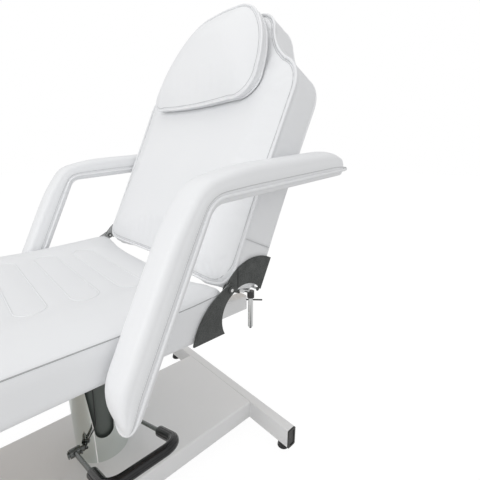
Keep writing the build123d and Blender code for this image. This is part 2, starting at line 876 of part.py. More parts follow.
def pivot_bolt():
    """Bolt with a domed head outside and a nut inside the plates."""
    outer = lower_plate_x() + plate_thickness
    inner = upper_plate_x() - part_gap - plate_thickness - part_gap
    shank = pin_x(inner - pivot_nut_height, pivot_y, pivot_z, pivot_bolt_radius, outer - inner + pivot_nut_height)
    head = pin_x(outer, pivot_y, pivot_z, pivot_head_radius, pivot_head_height)
    head = fillet(head.edges().filter_by(GeomType.CIRCLE).sort_by(Axis.X)[-1], pivot_head_height * 0.8)
    nut = RegularPolygon(pivot_head_radius, 6)
    nut = extrude(Plane.YZ.offset(inner) * Pos(pivot_y, pivot_z) * nut, -pivot_nut_height)
    return shank + head + nut


# Ratchet

def wheel_x():
    return upper_plate_x() - part_gap - plate_thickness


def ratchet_wheel():
    """Saw-toothed wheel that the pivot bolt holds still with the lower plate."""
    points = []
    for n in range(wheel_teeth):
        turn = 2 * math.pi * n / wheel_teeth
        for radius, lag in ((wheel_radius, 0), (wheel_radius - tooth_depth, tooth_lag_share)):
            angle = turn - lag * 2 * math.pi / wheel_teeth
            points.append((pivot_y + radius * math.cos(angle), pivot_z + radius * math.sin(angle)))
    wheel = plate_yz(make_face(Polyline(*points, close=True)), wheel_x(), plate_thickness)
    return wheel - pin_x(0, pivot_y, pivot_z, pivot_bolt_radius + slide_clearance, 2 * seat_half_width)


def pivot_spacer():
    """Plain ring in the wheel's place on the other side."""
    ring = pin_x(wheel_x(), pivot_y, pivot_z, pivot_head_radius, plate_thickness)
    return mirrored(ring - pin_x(0, pivot_y, pivot_z, pivot_bolt_radius + slide_clearance, 2 * seat_half_width))


def release_slab(low, height, *points):
    """A flat piece under the backrest: points are (x, distance rearwards) from the pivot."""
    return along(make_face(Polyline(*points, close=True)), release_plane.offset(low), height)


def box_points(x, half, start, end):
    return (x - half, start), (x + half, start), (x + half, end), (x - half, end)


def release_bolt():
    """Flat dark bar: its nose locks the toothed wheel, and it steps inwards to the handle."""
    inner = wheel_x()
    outer = wheel_x() + plate_thickness
    half = release_width / 2
    nose = wheel_radius + part_gap
    return release_slab(
        -release_drop, release_thickness,
        (inner + plate_thickness / 2, nose), (outer, nose + tooth_depth), (outer, release_jog_start),
        (handle_x + half, release_jog_end), (handle_x + half, release_length),
        (handle_x - half, release_length), (handle_x - half, release_jog_end - half),
        (inner, release_jog_start - half), (inner, nose + tooth_depth),
    )


def release_guide():
    """Folded bracket on the backrest's board with a keeper that the bar slides in."""
    leg = guide_wall
    top = -release_drop + release_thickness + part_gap
    rear = back_thickness + back_front
    bracket = release_slab(top, leg, *box_points(handle_x, guide_width / 2, guide_start, rear + leg))
    bracket += release_slab(top, guide_height, *box_points(handle_x, guide_width / 2, rear, rear + leg))
    keeper_half = release_width / 2 + part_gap + leg
    middle = (guide_start + rear) / 2
    ends = (middle - guide_keeper / 2, middle + guide_keeper / 2)
    low = -release_drop - part_gap - leg
    keeper = release_slab(low, top - low, *box_points(handle_x, keeper_half, *ends))
    hollow = release_slab(low + leg, top - low - leg, *box_points(handle_x, keeper_half - leg, guide_start, rear))
    bracket += keeper - hollow
    for tool in guide_screws():
        bracket -= tool
    return bracket


def guide_screws():
    rear = back_thickness + back_front
    screws = []
    for side in (-1, 1):
        spot = back_plane * Pos(handle_x + side * guide_screw_side, guide_screw_height, -rear - guide_wall)
        mouth = 2 * hinge_screw_radius - slide_clearance
        upright = (Align.CENTER, Align.CENTER, Align.MIN)
        cone = Cone(mouth, hinge_screw_radius, hinge_screw_radius, align=upright)
        shank = Cylinder(hinge_screw_radius, board_thickness, align=upright)
        screws.append(spot * (cone + shank))
    return screws


def release_handle():
    """Chrome rod that hangs from the bar by a collar, with a screw at its foot."""
    y = pivot_y + handle_y
    z = pivot_z + handle_z
    rod = Pos(handle_x, y, z - handle_length / 2) * Cylinder(handle_radius, handle_length)
    rod = fillet(rod.edges().filter_by(GeomType.CIRCLE), handle_radius / 7)
    collar = Pos(handle_x, y, z - collar_length / 2) * Cylinder(collar_radius, collar_length)
    foot = Pos(handle_x, y, z - handle_length - handle_foot / 2) * Cylinder(handle_radius / 2, handle_foot)
    return rod + collar + foot - release_bolt() - cross_pin()


def cross_pin():
    """Thin tommy bar through the collar."""
    z = pivot_z + handle_z - collar_length * 1.4
    pin = Rot(0, 0, 45) * Pos(0, 0, 0) * Rot(0, 90, 0) * Cylinder(cross_pin_radius, cross_pin_length)
    return Pos(handle_x, pivot_y + handle_y, z) * Pos(handle_radius, handle_radius, 0) * pin


# Leg rest

leg_pivot_y = seat_front - leg_pivot_gap
leg_pivot_z = seat_underside + board_thickness / 2
leg_turn = Pos(0, leg_pivot_y, leg_pivot_z) * Rot(leg_drop, 0, 0) * Pos(0, -leg_pivot_y, -leg_pivot_z)


def leg_cushion():
    rear = seat_front - leg_gap
    sections = []
    for level, inset in cushion_levels(leg_height, crown, crown_reach):
        outline = rounded_outline(back_half_width, rear - leg_length, rear, seat_corner, inset, draw_in)
        sections.append(Pos(0, 0, seat_underside + level) * outline)
    cushion = loft(sections, ruled=True)
    pocket = rounded_outline(back_half_width, rear - leg_length, rear, seat_corner, board_inset - part_gap, draw_in)
    cushion = leg_turn * (cushion - Pos(0, 0, seat_underside) * board_pocket(pocket))
    for tool in both_sides(*leg_rest_screws()):
        cushion -= tool
    return cushion


def leg_board():
    rear = seat_front - leg_gap
    outline = rounded_outline(back_half_width, rear - leg_length, rear, seat_corner, board_inset, draw_in)
    board = leg_turn * extrude(Pos(0, 0, seat_underside) * outline, board_thickness)
    for tool in both_sides(*leg_rest_screws()):
        board -= tool
    return board


def leg_plate_face(toward):
    y = leg_pivot_y
    tail = Pos(y + toward * leg_plate_length / 2, leg_pivot_z) * Rectangle(leg_plate_length, 1.6 * leg_plate_radius)
    tip = Pos(y + toward * leg_plate_length, leg_pivot_z) * Circle(0.8 * leg_plate_radius)
    return Pos(y, leg_pivot_z) * Circle(leg_plate_radius) + tail + tip


def leg_plate(toward, x):
    plate = plate_yz(leg_plate_face(toward), x, plate_thickness)
    plate -= pin_x(0, leg_pivot_y, leg_pivot_z, pivot_bolt_radius + slide_clearance, 2 * seat_half_width)
    for tool in leg_plate_screws(toward, x):
        plate -= tool
    return plate


def leg_plate_screws(toward, x):
    return [screw_tool(x, leg_pivot_y + toward * share * leg_plate_length, leg_pivot_z) for share in (0.6, 1.0)]


def leg_seat_screws():
    return leg_plate_screws(1, lower_plate_x())


def leg_rest_screws():
    return [leg_turn * tool for tool in leg_plate_screws(-1, upper_plate_x())]


def leg_bolt():
    outer = lower_plate_x() + plate_thickness
    inner = upper_plate_x() - part_gap
    shank = pin_x(inner - pivot_nut_height, leg_pivot_y, leg_pivot_z, pivot_bolt_radius, outer - inner + pivot_nut_height)
    head = pin_x(outer, leg_pivot_y, leg_pivot_z, pivot_head_radius, pivot_head_height)
    nut = RegularPolygon(pivot_head_radius, 6)
    nut = extrude(Plane.YZ.offset(inner) * Pos(leg_pivot_y, leg_pivot_z) * nut, -pivot_nut_height)
    return shank + head + nut


# Armrests

def arm_directions():
    """Unit vectors in (y, z) along the top and down the front of the armrest."""
    rise = math.radians(arm_rise)
    lean = math.radians(arm_lean)
    return (math.cos(rise), math.sin(rise)), (-math.sin(lean), -math.cos(lean))


def arm_geometry():
    """Where the bend of the board plane starts and ends, and its centre, in (y, z)."""
    top, front = arm_directions()
    angle = math.acos(top[0] * front[0] + top[1] * front[1])
    trim = arm_bend / math.tan(angle / 2)
    a = (arm_corner_y + top[0] * trim, arm_corner_z + top[1] * trim)
    b = (arm_corner_y + front[0] * trim, arm_corner_z + front[1] * trim)
    centre = (a[0] + top[1] * arm_bend, a[1] - top[0] * arm_bend)
    return a, b, centre, math.degrees(math.pi - angle), trim


def arm_sweep(profile, half_profile):
    """Run a profile along the armrest: a straight, a bend, a straight and two round ends."""
    top, front = arm_directions()
    a, b, centre, turn, trim = arm_geometry()
    start = Plane((arm_centre_x, a[0], a[1]), x_dir=(-1, 0, 0), z_dir=(0, top[0], top[1]))
    solid = along(profile, start, arm_top_length - trim)
    bend_axis = Axis((arm_centre_x, centre[0], centre[1]), (1, 0, 0))
    solid += revolve(start * profile, bend_axis, turn)
    down = Plane((arm_centre_x, b[0], b[1]), x_dir=(1, 0, 0), z_dir=(0, front[0], front[1]))
    solid += along(profile, down, arm_front_length - trim)
    rear = Plane(
        (arm_centre_x, arm_corner_y + top[0] * arm_top_length, arm_corner_z + top[1] * arm_top_length),
        x_dir=(-1, 0, 0), z_dir=(0, top[0], top[1]),
    )
    solid += revolve(rear * half_profile, Axis(rear.origin, rear.y_dir), -180)
    low = Plane(
        (arm_centre_x, arm_corner_y + front[0] * arm_front_length, arm_corner_z + front[1] * arm_front_length),
        x_dir=(1, 0, 0), z_dir=(0, front[0], front[1]),
    )
    solid += revolve(low * half_profile, Axis(low.origin, low.y_dir), -180)
    return solid


def pad_profile(half):
    """Crowned section of the pad above its piping, whole or its right half."""
    w = arm_half_width
    h = arm_height
    side = ThreePointArc((w * 0.97, 0), (w * 1.03, h * 0.3), (w * 0.97, h * 0.6))
    shoulder = ThreePointArc((w * 0.97, h * 0.6), (w * 0.84, h * 0.84), (w * 0.55, h * 0.95))
    if half:
        top = ThreePointArc((w * 0.55, h * 0.95), (w * 0.28, h * 0.99), (0, h))
        return face_of(Line((0, 0), (w * 0.97, 0)), side, shoulder, top, Line((0, h), (0, 0)))
    top = ThreePointArc((w * 0.55, h * 0.95), (0, h), (-w * 0.55, h * 0.95))
    left = [edge.mirror(Plane.YZ) for edge in (shoulder, side)]
    return face_of(Line((-w * 0.97, 0), (w * 0.97, 0)), side, shoulder, top, *left)


def base_profile(half):
    """Shallow padded section under the piping."""
    w = arm_half_width * 0.94
    d = arm_base_depth
    side = ThreePointArc((w, -part_gap), (w * 0.95, -d * 0.55), (w * 0.81, -d * 0.85))
    if half:
        under = ThreePointArc((w * 0.81, -d * 0.85), (w / 2, -d * 0.97), (0, -d))
        return face_of(Line((0, -part_gap), (w, -part_gap)), side, under, Line((0, -d), (0, -part_gap)))
    under = ThreePointArc((w * 0.81, -d * 0.85), (0, -d), (-w * 0.81, -d * 0.85))
    return face_of(Line((-w, -part_gap), (w, -part_gap)), side, under, side.mirror(Plane.YZ))


def arm_bar_place():
    """Centre of the bar in (y, z): level with the armrest's base and just under the seat."""
    top, front = arm_directions()
    z = seat_underside - arm_bar_height / 2 - arm_bar_wall
    along_front = (arm_corner_z - z) / -front[1]
    return arm_corner_y + front[0] * along_front + arm_bar_behind / -front[1], z


def arm_strap():
    """Flat plate let into the underside of the pad, near its lower end."""
    top, front = arm_directions()
    foot = arm_front_length - strap_length / 2
    origin = (arm_centre_x, arm_corner_y + front[0] * foot, arm_corner_z + front[1] * foot)
    back = Plane(origin, x_dir=(1, 0, 0), z_dir=(0, -front[1], front[0]))
    outline = RectangleRounded(strap_width, strap_length, beam_corner)
    return along(outline, back.offset(2 * part_gap), strap_thickness)


def arm_bar_solid(grow):
    y, z = arm_bar_place()
    plane = Plane((arm_bar_inner_x, y, z), x_dir=(0, 1, 0), z_dir=(1, 0, 0))
    outline = RectangleRounded(arm_bar_width + 2 * grow, arm_bar_height + 2 * grow, arm_bar_wall)
    return along(outline, plane, arm_centre_x - arm_bar_inner_x + strap_width / 2 + grow)


def arm_bar():
    """Rectangular tube that slides in the socket, welded to the plate in the armrest."""
    y, z = arm_bar_place()
    plane = Plane((arm_bar_inner_x, y, z), x_dir=(0, 1, 0), z_dir=(1, 0, 0))
    inside = Rectangle(arm_bar_width - 2 * arm_bar_wall, arm_bar_height - 2 * arm_bar_wall)
    bore = along(inside, plane, arm_centre_x - arm_bar_inner_x)
    return arm_bar_solid(0) - bore + arm_strap()


def arm_base():
    """The lower padding, with room for the plate and the bar."""
    base = arm_sweep(base_profile(False), base_profile(True))
    return base - scale_out(arm_strap()) - arm_bar_solid(part_gap)


def scale_out(plate):
    """The same plate with a little room all round."""
    return offset(plate, part_gap, kind=Kind.INTERSECTION)


def arm_socket():
    y, z = arm_bar_place()
    room = 2 * slide_clearance
    walls = 2 * arm_bar_wall
    outer = RectangleRounded(arm_bar_width + walls, arm_bar_height + walls, arm_bar_wall)
    section = outer - RectangleRounded(arm_bar_width + room, arm_bar_height + room, arm_bar_wall)
    plane = Plane((socket_inner_x, y, z), x_dir=(0, 1, 0), z_dir=(1, 0, 0))
    socket = along(section, plane, socket_outer_x - socket_inner_x)
    return socket - Pos(knob_x, y, z - arm_bar_height / 2) * Cylinder(knob_stud_radius + slide_clearance, 4 * arm_bar_wall)


def arm_knob():
    """Lobed plastic knob on a stud that clamps the bar."""
    y, z = arm_bar_place()
    under = z - arm_bar_height / 2 - arm_bar_wall
    lobes = Circle(knob_radius * 0.75)
    for n in range(knob_lobes):
        lobes += Rot(0, 0, 360 / knob_lobes * n) * Pos(knob_radius * 0.7, 0) * Circle(knob_radius * 0.3)
    knob = extrude(Pos(0, 0, under - part_gap - knob_height - arm_bar_wall) * lobes, knob_height)
    neck = Pos(0, 0, under - part_gap - arm_bar_wall / 2) * Cylinder(knob_radius / 2, arm_bar_wall)
    length = arm_bar_wall
    stud = Pos(0, 0, under + length / 2 - part_gap) * Cylinder(knob_stud_radius, length)
    return Pos(knob_x, y, 0) * (knob + neck + stud)


# Assembly

for name, side in (("front", -1), ("rear", 1)):
    add("base_beam_" + name, beam(side * beam_pitch / 2))
ends = [(s, t * beam_pitch / 2) for s in (-1, 1) for t in (-1, 1)]
add("beam_end_caps", *[end_cap(s, y) for s, y in ends])
add("rubber_feet", *[rubber_foot(s, y) for s, y in ends])
add("foot_bolts", *[foot_bolt(s, y) for s, y in ends])
add("base_hood", hood())
add("column_cover", column_cover())
add("pump_body", pump_body())
add("pump_bolts", *pump_bolts())
add("ram_gland", ram_gland())
add("shaft_bushes", *shaft_bushes())

add("pedal_bar", pedal_bar())
add("pedal_sleeve", pedal_sleeve())
add("pedal_shaft", pedal_shaft())
add("split_pins", *split_pins())
add("valve_lug", valve_lug())
add("valve_wire", valve_wire())

add("lift_ram", lift_ram())
add("head_plate", head_plate())
add("head_bolts", *head_bolts())
add("seat_rail_left", rail(1))
add("seat_rail_right", rail(-1))
add("cross_tubes", *cross_tubes())
add("seat_board", seat_board())
add("seat_cushion", seat_cushion())
add("lower_hinge_plate_left", lower_plate())
add("lower_hinge_plate_right", mirrored(lower_plate()))
add("pivot_bolts", pivot_bolt(), mirrored(pivot_bolt()))
add("lower_plate_screws", *both_sides(*lower_screws()))
add("arm_socket_left", arm_socket())
add("arm_socket_right", mirrored(arm_socket()))
add("leg_seat_plates", leg_plate(1, lower_plate_x()), mirrored(leg_plate(1, lower_plate_x())))
add("leg_seat_screws", *both_sides(*leg_seat_screws()))
add("leg_pivot_bolts", leg_bolt(), mirrored(leg_bolt()))
add("ratchet_wheel", ratchet_wheel())
add("pivot_spacer", pivot_spacer())

add("back_board", back_board())
add("back_cushion", back_cushion())
add("head_pillow", head_pillow())
add("pillow_tabs", *pillow_tabs())
add("upper_hinge_plate_left", upper_plate())
add("upper_hinge_plate_right", mirrored(upper_plate()))
add("upper_plate_screws", *both_sides(*upper_screws()))
add("release_guide", release_guide())
add("guide_screws", *guide_screws())

add("release_bolt", release_bolt())
add("release_handle", release_handle())
add("cross_pin", cross_pin())

add("leg_board", leg_board())
add("leg_cushion", leg_cushion())
leg_side = leg_turn * leg_plate(-1, upper_plate_x())
add("leg_rest_screws", *both_sides(*leg_rest_screws()))
add("leg_rest_plates", leg_side, mirrored(leg_side))

for name, hand in (("left", 1), ("right", -1)):
    pieces = {
        "arm_pad_": arm_sweep(pad_profile(False), pad_profile(True)),
        "arm_base_": arm_base(),
        "arm_bar_": arm_bar(),
        "arm_knob_": arm_knob(),
    }
    for stem, piece in pieces.items():
        add(stem + name, piece if hand > 0 else mirrored(piece))

low_y = min(s.bounding_box().min.Y for found in parts.values() for s in found)
high_y = max(s.bounding_box().max.Y for found in parts.values() for s in found)
shift = -(low_y + high_y) / 2
print("shift along Y:", round(shift, 3), "from", round(low_y, 2), "to", round(high_y, 2))
for node, found in parts.items():
    export_step(Compound([Pos(0, shift, 0) * s for s in found]), "parts/" + node + ".step")
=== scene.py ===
# %% [markdown]
# # A hydraulic beauty chair, dressed for a studio picture
# The CAD model gives the frame: every tube, plate, bolt and joint already has its real size and place.
# This lesson adds what CAD leaves plain: the padded vinyl, its piping and stitching,
# and the finish of each metal, rubber and wooden piece.
# It could all be painted onto the CAD solids, but real upholstery swells between its seams,
# so the pads are modelled again here.

import json
import math

import bmesh
import bpy
import numpy as np
from mathutils import Matrix, Vector


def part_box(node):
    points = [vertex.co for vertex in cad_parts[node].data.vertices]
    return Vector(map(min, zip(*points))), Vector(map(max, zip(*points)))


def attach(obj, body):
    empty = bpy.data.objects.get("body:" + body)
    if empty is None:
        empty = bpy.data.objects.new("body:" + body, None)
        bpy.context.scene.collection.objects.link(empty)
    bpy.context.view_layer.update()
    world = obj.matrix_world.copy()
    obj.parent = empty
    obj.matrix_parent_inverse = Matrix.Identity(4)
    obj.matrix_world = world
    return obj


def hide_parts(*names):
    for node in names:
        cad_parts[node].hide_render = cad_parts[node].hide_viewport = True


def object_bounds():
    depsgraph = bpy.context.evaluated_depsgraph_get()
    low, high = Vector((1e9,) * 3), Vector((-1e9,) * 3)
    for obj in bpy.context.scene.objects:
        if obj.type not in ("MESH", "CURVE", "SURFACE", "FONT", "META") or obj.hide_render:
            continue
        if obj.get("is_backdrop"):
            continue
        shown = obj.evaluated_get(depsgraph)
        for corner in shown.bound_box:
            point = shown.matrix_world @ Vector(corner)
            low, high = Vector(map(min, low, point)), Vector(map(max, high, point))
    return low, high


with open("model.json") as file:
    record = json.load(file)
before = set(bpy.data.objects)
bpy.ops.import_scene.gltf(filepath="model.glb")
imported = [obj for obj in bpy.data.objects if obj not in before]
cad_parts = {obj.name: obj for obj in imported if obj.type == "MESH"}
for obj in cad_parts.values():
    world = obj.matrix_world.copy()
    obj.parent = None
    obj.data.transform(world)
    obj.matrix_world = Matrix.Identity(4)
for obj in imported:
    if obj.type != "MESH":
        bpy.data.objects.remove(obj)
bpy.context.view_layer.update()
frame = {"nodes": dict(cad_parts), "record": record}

# %% [markdown]
# ## The chair's own measures
# Everything is in metres, with the floor at zero height and the sitter's head towards +Y.
# The lift column stands a little behind the middle of the box, because the leg section reaches far forward.

# %% Measures
COLUMN_Y = 0.156675
SEAT_BOTTOM = 0.478
SEAT_HEIGHT = 0.081
SEAT_HALF = 0.312
SEAT_FRONT = -0.340 + COLUMN_Y
SEAT_REAR = 0.180 + COLUMN_Y
PIVOT = Vector((0, 0.1877 + COLUMN_Y, 0.569))
# The line where the upper hinge plate laps the lower one; a painted shadow line is drawn there.
LAP_SHADOW_LINE = Vector((0, 0.2100 + COLUMN_Y, 0.587))
RECLINE = math.radians(25)
BACK_HALF = 0.308
BACK_LENGTH = 0.712
BACK_THICK = 0.089
BACK_LOW = -0.0905
HEM = 0.030
COLLAR_HEIGHT = 0.505
# Turn round the column of the painted highlight line on the cover.
HIGHLIGHT_TURN = math.radians(-32.1)
print("seat top at", SEAT_BOTTOM + SEAT_HEIGHT)

# %% [markdown]
# ## The camera
# The photograph was taken from the chair's front left, a little above the armrests.
# A camera can be placed by eye, but this one was worked out from straight edges of the seat and the base,
# so that the picture and the render can be laid over each other.

# %% Camera
lens = bpy.data.cameras.new("studio_camera")
lens.lens = 24.33
lens.sensor_width = 36
camera = bpy.data.objects.new("studio_camera", lens)
bpy.context.collection.objects.link(camera)
camera.location = (0.7736, -0.0532, 0.8345)
camera.rotation_euler = (math.radians(75.09), 0, math.radians(47.30))
bpy.context.scene.camera = camera
print("camera at", tuple(round(v, 3) for v in camera.location))

# %% [markdown]
# ## Writing shader maths as sums
# Blender joins shader nodes with links, which is slow to read in a script.
# A small class wraps one socket, so that adding or multiplying two of them makes the Math node by itself.
# Every other node comes from one method, which takes the node's type, its settings and its sockets.


# %% Shader helpers
class Value:
    """One number in a material, which can be used in a sum."""

    def __init__(self, finish, socket):
        self.finish = finish
        self.socket = socket

    def __add__(self, other):
        return self.finish.maths("ADD", self, other)

    def __sub__(self, other):
        return self.finish.maths("SUBTRACT", self, other)

    def __rsub__(self, other):
        return self.finish.maths("SUBTRACT", other, self)

    def __mul__(self, other):
        return self.finish.maths("MULTIPLY", self, other)

    def __abs__(self):
        return self.finish.maths("ABSOLUTE", self)

    __radd__ = __add__
    __rmul__ = __mul__


class Finish:
    """A material under construction, with its main shader."""

    def __init__(self, name):
        self.material = bpy.data.materials.new(name)
        self.material.use_nodes = True
        self.tree = self.material.node_tree
        self.shader = self.tree.nodes["Principled BSDF"]
        self.place = self.node("ShaderNodeTexCoord", {}, {}, "Object")

    def feed(self, socket, value):
        """Link a value to a socket, or write a plain number or colour into it."""
        if isinstance(value, Value):
            self.tree.links.new(value.socket, socket)
        else:
            socket.default_value = value

    def node(self, kind, settings, sockets, output=0):
        made = self.tree.nodes.new(kind)
        for key, value in settings.items():
            setattr(made, key, value)
        for key, value in sockets.items():
            self.feed(made.inputs[key], value)
        return Value(self, made.outputs[output])

    def maths(self, operation, *numbers):
        return self.node("ShaderNodeMath", {"operation": operation}, dict(enumerate(numbers)))

    def vector(self, operation, *vectors, output=0):
        settings = {"operation": operation}
        return self.node("ShaderNodeVectorMath", settings, dict(enumerate(vectors)), output)

    def axis(self, letter):
        return self.node("ShaderNodeSeparateXYZ", {}, {"Vector": self.place}, letter)

    def distance(self, point, weights):
        """The distance from a point, with each axis weighted."""
        away = self.vector("SUBTRACT", self.place, point)
        return self.vector("LENGTH", self.vector("MULTIPLY", away, weights), output="Value")

    def noise(self, scale, detail=2.0, roughness=0.5, place=None):
        sockets = {"Vector": place or self.place, "Scale": scale, "Detail": detail, "Roughness": roughness}
        return self.node("ShaderNodeTexNoise", {}, sockets, "Fac")

    def stretched(self, scale):
        return self.node("ShaderNodeMapping", {}, {"Vector": self.place, "Scale": scale})

    def ramp(self, value, low, high):
        """0 below low, 1 above high, and a soft step between."""
        settings = {"interpolation_type": "SMOOTHSTEP"}
        return self.node("ShaderNodeMapRange", settings, {"Value": value, "From Min": low, "From Max": high})

    def blend(self, factor, first, second):
        """A colour between two colours. Sockets 6 and 7 are the Mix node's colours."""
        return self.node("ShaderNodeMix", {"data_type": "RGBA"}, {0: factor, 6: first, 7: second}, 2)

    def bump(self, height, strength, distance):
        sockets = {"Height": height, "Strength": strength, "Distance": distance}
        return self.node("ShaderNodeBump", {}, sockets)

    def set(self, **sockets):
        for key, value in sockets.items():
            self.feed(self.shader.inputs[key.replace("_", " ")], value)


def rgb(red, green, blue):
    return (red, green, blue, 1)


def dimmed(colour, share):
    return rgb(*(share * part for part in colour[:3]))


print("shader helpers ready")

# %% [markdown]
# ## White vinyl
# The cover is soft coated cloth. Close up it has a fine pebbled grain, it creases softly where it is
# pulled round a corner, and it is shinier down in a seam, where shade is painted into its colour.
# A picture of leather could be laid over it, but noise at three scales gives the same grain on every side
# without any stretching.
# Each pad carries an attribute named seam, which is 1 in the bottom of a seam or sewn channel.
# It darkens the colour there: painted shade for the shadow down in the seam.

# %% Vinyl
vinyl = Finish("white_vinyl")
grain = vinyl.noise(900, 3, 0.6)
crease = vinyl.noise(14, 4, 0.55, vinyl.stretched((1, 2.2, 0.7)))
cloud = vinyl.noise(3.2, 2)
seam = vinyl.node("ShaderNodeAttribute", {"attribute_name": "seam"}, {}, "Fac")
# The blend towards grey by the seam attribute is painted shade in the seams and sewn channels.
unshaded = vinyl.blend(cloud, rgb(0.80, 0.81, 0.825), rgb(0.86, 0.865, 0.875))
height = grain * 0.10 + crease * 1.0 - seam * 0.5
vinyl.set(
    Base_Color=vinyl.blend(vinyl.ramp(seam, 0.15, 1.0), unshaded, rgb(0.42, 0.43, 0.44)),
    Roughness=0.43 + grain * 0.12 - seam * 0.05,
    Normal=vinyl.bump(height, 0.22, 0.0022),
    Specular_IOR_Level=0.42,
    Coat_Weight=0.06,
)
print("vinyl has", len(vinyl.tree.nodes), "nodes")

# %% [markdown]
# ## Seams and stitches
# A seam is a folded edge in its own shadow, so its cord is coloured darker than the cover as painted shade,
# and has no shine.
# The deep seam round a block pad is the darkest, and topstitching is paler.


# %% Seam shadow
def sewn_line(name, dark, pale):
    """A folded vinyl edge, coloured as painted shade of its own shadow and uneven along its stitches."""
    f = Finish(name)
    thread = f.noise(260, 2)
    f.set(Base_Color=f.blend(thread, dark, pale), Roughness=0.6 + thread * 0.2)
    f.set(Normal=f.bump(thread, 0.3, 0.0006))
    return f


# Both greys are painted shade: the dark one for deep seams, the paler one for topstitching.
seam_shadow = sewn_line("seam_shadow", rgb(0.33, 0.34, 0.345), rgb(0.47, 0.48, 0.485))
stitching = sewn_line("stitching", rgb(0.53, 0.54, 0.545), rgb(0.61, 0.62, 0.625))
print("two kinds of seam")

# %% [markdown]
# ## Painted, plated and moulded finishes
# The beams and the hood are powder coated in gloss white, which leaves a faint orange-peel skin.
# The column cover is chrome plated, and the hinge plates have a dark coat with a sandy grain.
# One function per kind of surface keeps the differences small and easy to see.


# %% Metal, rubber and plastic
def coated(name, colour, roughness, grain_scale, grain_height):
    """Powder coat: an even colour with a grain, slightly dusty in patches."""
    f = Finish(name)
    skin = f.noise(grain_scale, 3, 0.6)
    dust = f.noise(9, 5, 0.6)
    f.set(Base_Color=f.blend(dust, dimmed(colour, 0.97), colour), Roughness=roughness + dust * 0.06)
    f.set(Normal=f.bump(skin, 0.35, grain_height))
    return f


def plated(name, colour, roughness, streak):
    """Plated steel, with fine polishing streaks that run along the piece."""
    f = Finish(name)
    streaks = f.noise(60, 4, 0.6, f.stretched(streak))
    cloud = f.noise(7, 3)
    f.set(Base_Color=f.blend(cloud, dimmed(colour, 0.82), colour), Roughness=roughness + streaks * 0.09)
    f.set(Metallic=1.0, Normal=f.bump(streaks, 0.05, 0.0006))
    return f


def moulded(name, colour, roughness, scale):
    """Rubber or plastic from a mould, with a matt skin and paler scuffs."""
    f = Finish(name)
    skin = f.noise(scale, 3, 0.6)
    scuff = f.ramp(f.noise(22, 6, 0.7), 0.52, 0.75)
    pale = rgb(*(part + 0.012 for part in colour[:3]))
    f.set(Base_Color=f.blend(scuff, colour, pale), Roughness=roughness + scuff * 0.12)
    f.set(Normal=f.bump(skin, 0.3, 0.0004))
    return f


def sandy(f):
    """Put a sandy grain on a finish, and return the dark colour of its coat."""
    sand = f.noise(420, 4, 0.75)
    patch = f.noise(38, 4, 0.6)
    f.set(Roughness=0.48 + sand * 0.16, Normal=f.bump(sand, 0.5, 0.0010))
    speckle = f.ramp(sand * 0.7 + patch * 0.3, 0.38, 0.62)
    return f.blend(speckle, rgb(0.034, 0.037, 0.036), rgb(0.085, 0.090, 0.087))


white_paint = coated("gloss_white_coat", rgb(0.835, 0.84, 0.845), 0.22, 260, 0.0005)
white_paint.set(Coat_Weight=0.25)
dark_plate = Finish("dark_grey_coat")
dark_plate.set(Base_Color=sandy(dark_plate))
dark_casting = coated("pump_paint", rgb(0.10, 0.115, 0.105), 0.42, 300, 0.0012)
chrome = plated("chrome_plate", rgb(0.60, 0.63, 0.61), 0.05, (1, 1, 0.06))
steel = plated("zinc_plate", rgb(0.46, 0.46, 0.45), 0.30, (0.3, 0.3, 1))
pedal_steel = plated("pedal_steel", rgb(0.17, 0.18, 0.175), 0.22, (0.3, 0.3, 1))
rubber = moulded("black_rubber", rgb(0.009, 0.009, 0.010), 0.20, 700)
black_plastic = moulded("black_plastic", rgb(0.016, 0.016, 0.016), 0.38, 900)
print("finishes:", [m.name for m in bpy.data.materials if m.users])

# %% [markdown]
# ## Finishes with a mark in one place
# Some pieces show two things at once, such as a bolt head that is bare in its middle.
# Each mark has its place in metres on the chair.
# Three marks are painted light: a highlight line on the column cover, reflections in the handle's chrome
# and a shadow line where the hinge plates lap.


# %% Marked finishes
def hinge_coat(name, inner, lap_shadow=False):
    """A sandy coat sprayed from outside: the inner face, at that distance from the middle, stays pale.

    A plate that laps the other gets a thin dark line of painted shadow along the lap edge.
    """
    f = Finish(name)
    dark = sandy(f)
    outside = f.ramp(abs(f.axis("X")), inner + 0.0005, inner + 0.0010)
    if lap_shadow:
        # Painted shadow: a thin near-black line along the lap edge.
        apart = f.distance(LAP_SHADOW_LINE, (0, 1, 0.06))
        dark = f.blend(f.ramp(apart, 0.0011, 0.0017), rgb(0.003, 0.003, 0.003), dark)
    f.set(Base_Color=f.blend(outside, rgb(0.48, 0.49, 0.49), dark))
    return f


def handle_with_painted_reflection():
    """Chrome with painted reflections, upright dark and bright streaks in its colour, and a black collar at
    its top.
    """
    f = Finish("handle_chrome")
    # Painted reflection: dark and bright streaks of colour stand in for a dark room mirrored in the chrome.
    reflection_streaks = f.ramp(f.noise(240, 1, 0.5, f.stretched((1, 1, 0.02))), 0.45, 0.60)
    collar = f.ramp(f.axis("Z"), COLLAR_HEIGHT - 0.0005, COLLAR_HEIGHT + 0.0005)
    painted_reflection = f.blend(reflection_streaks, rgb(0.07, 0.075, 0.075), rgb(0.74, 0.75, 0.75))
    f.set(Base_Color=f.blend(collar, painted_reflection, rgb(0.03, 0.03, 0.03)))
    f.set(Roughness=0.12 + reflection_streaks * 0.06, Metallic=1 - collar)
    return f


def bolt_with_bright_middle():
    """A dark painted bolt head with a bright bare-metal disc in its middle."""
    f = Finish("pivot_bolt_head")
    roughness_patches = f.noise(90, 3)
    painted = f.ramp(f.distance(PIVOT, (0, 1, 1)), 0.0030, 0.0038)
    f.set(Base_Color=f.blend(painted, rgb(0.80, 0.80, 0.79), rgb(0.06, 0.063, 0.062)))
    f.set(Roughness=0.32 + roughness_patches * 0.15, Metallic=1 - painted)
    return f


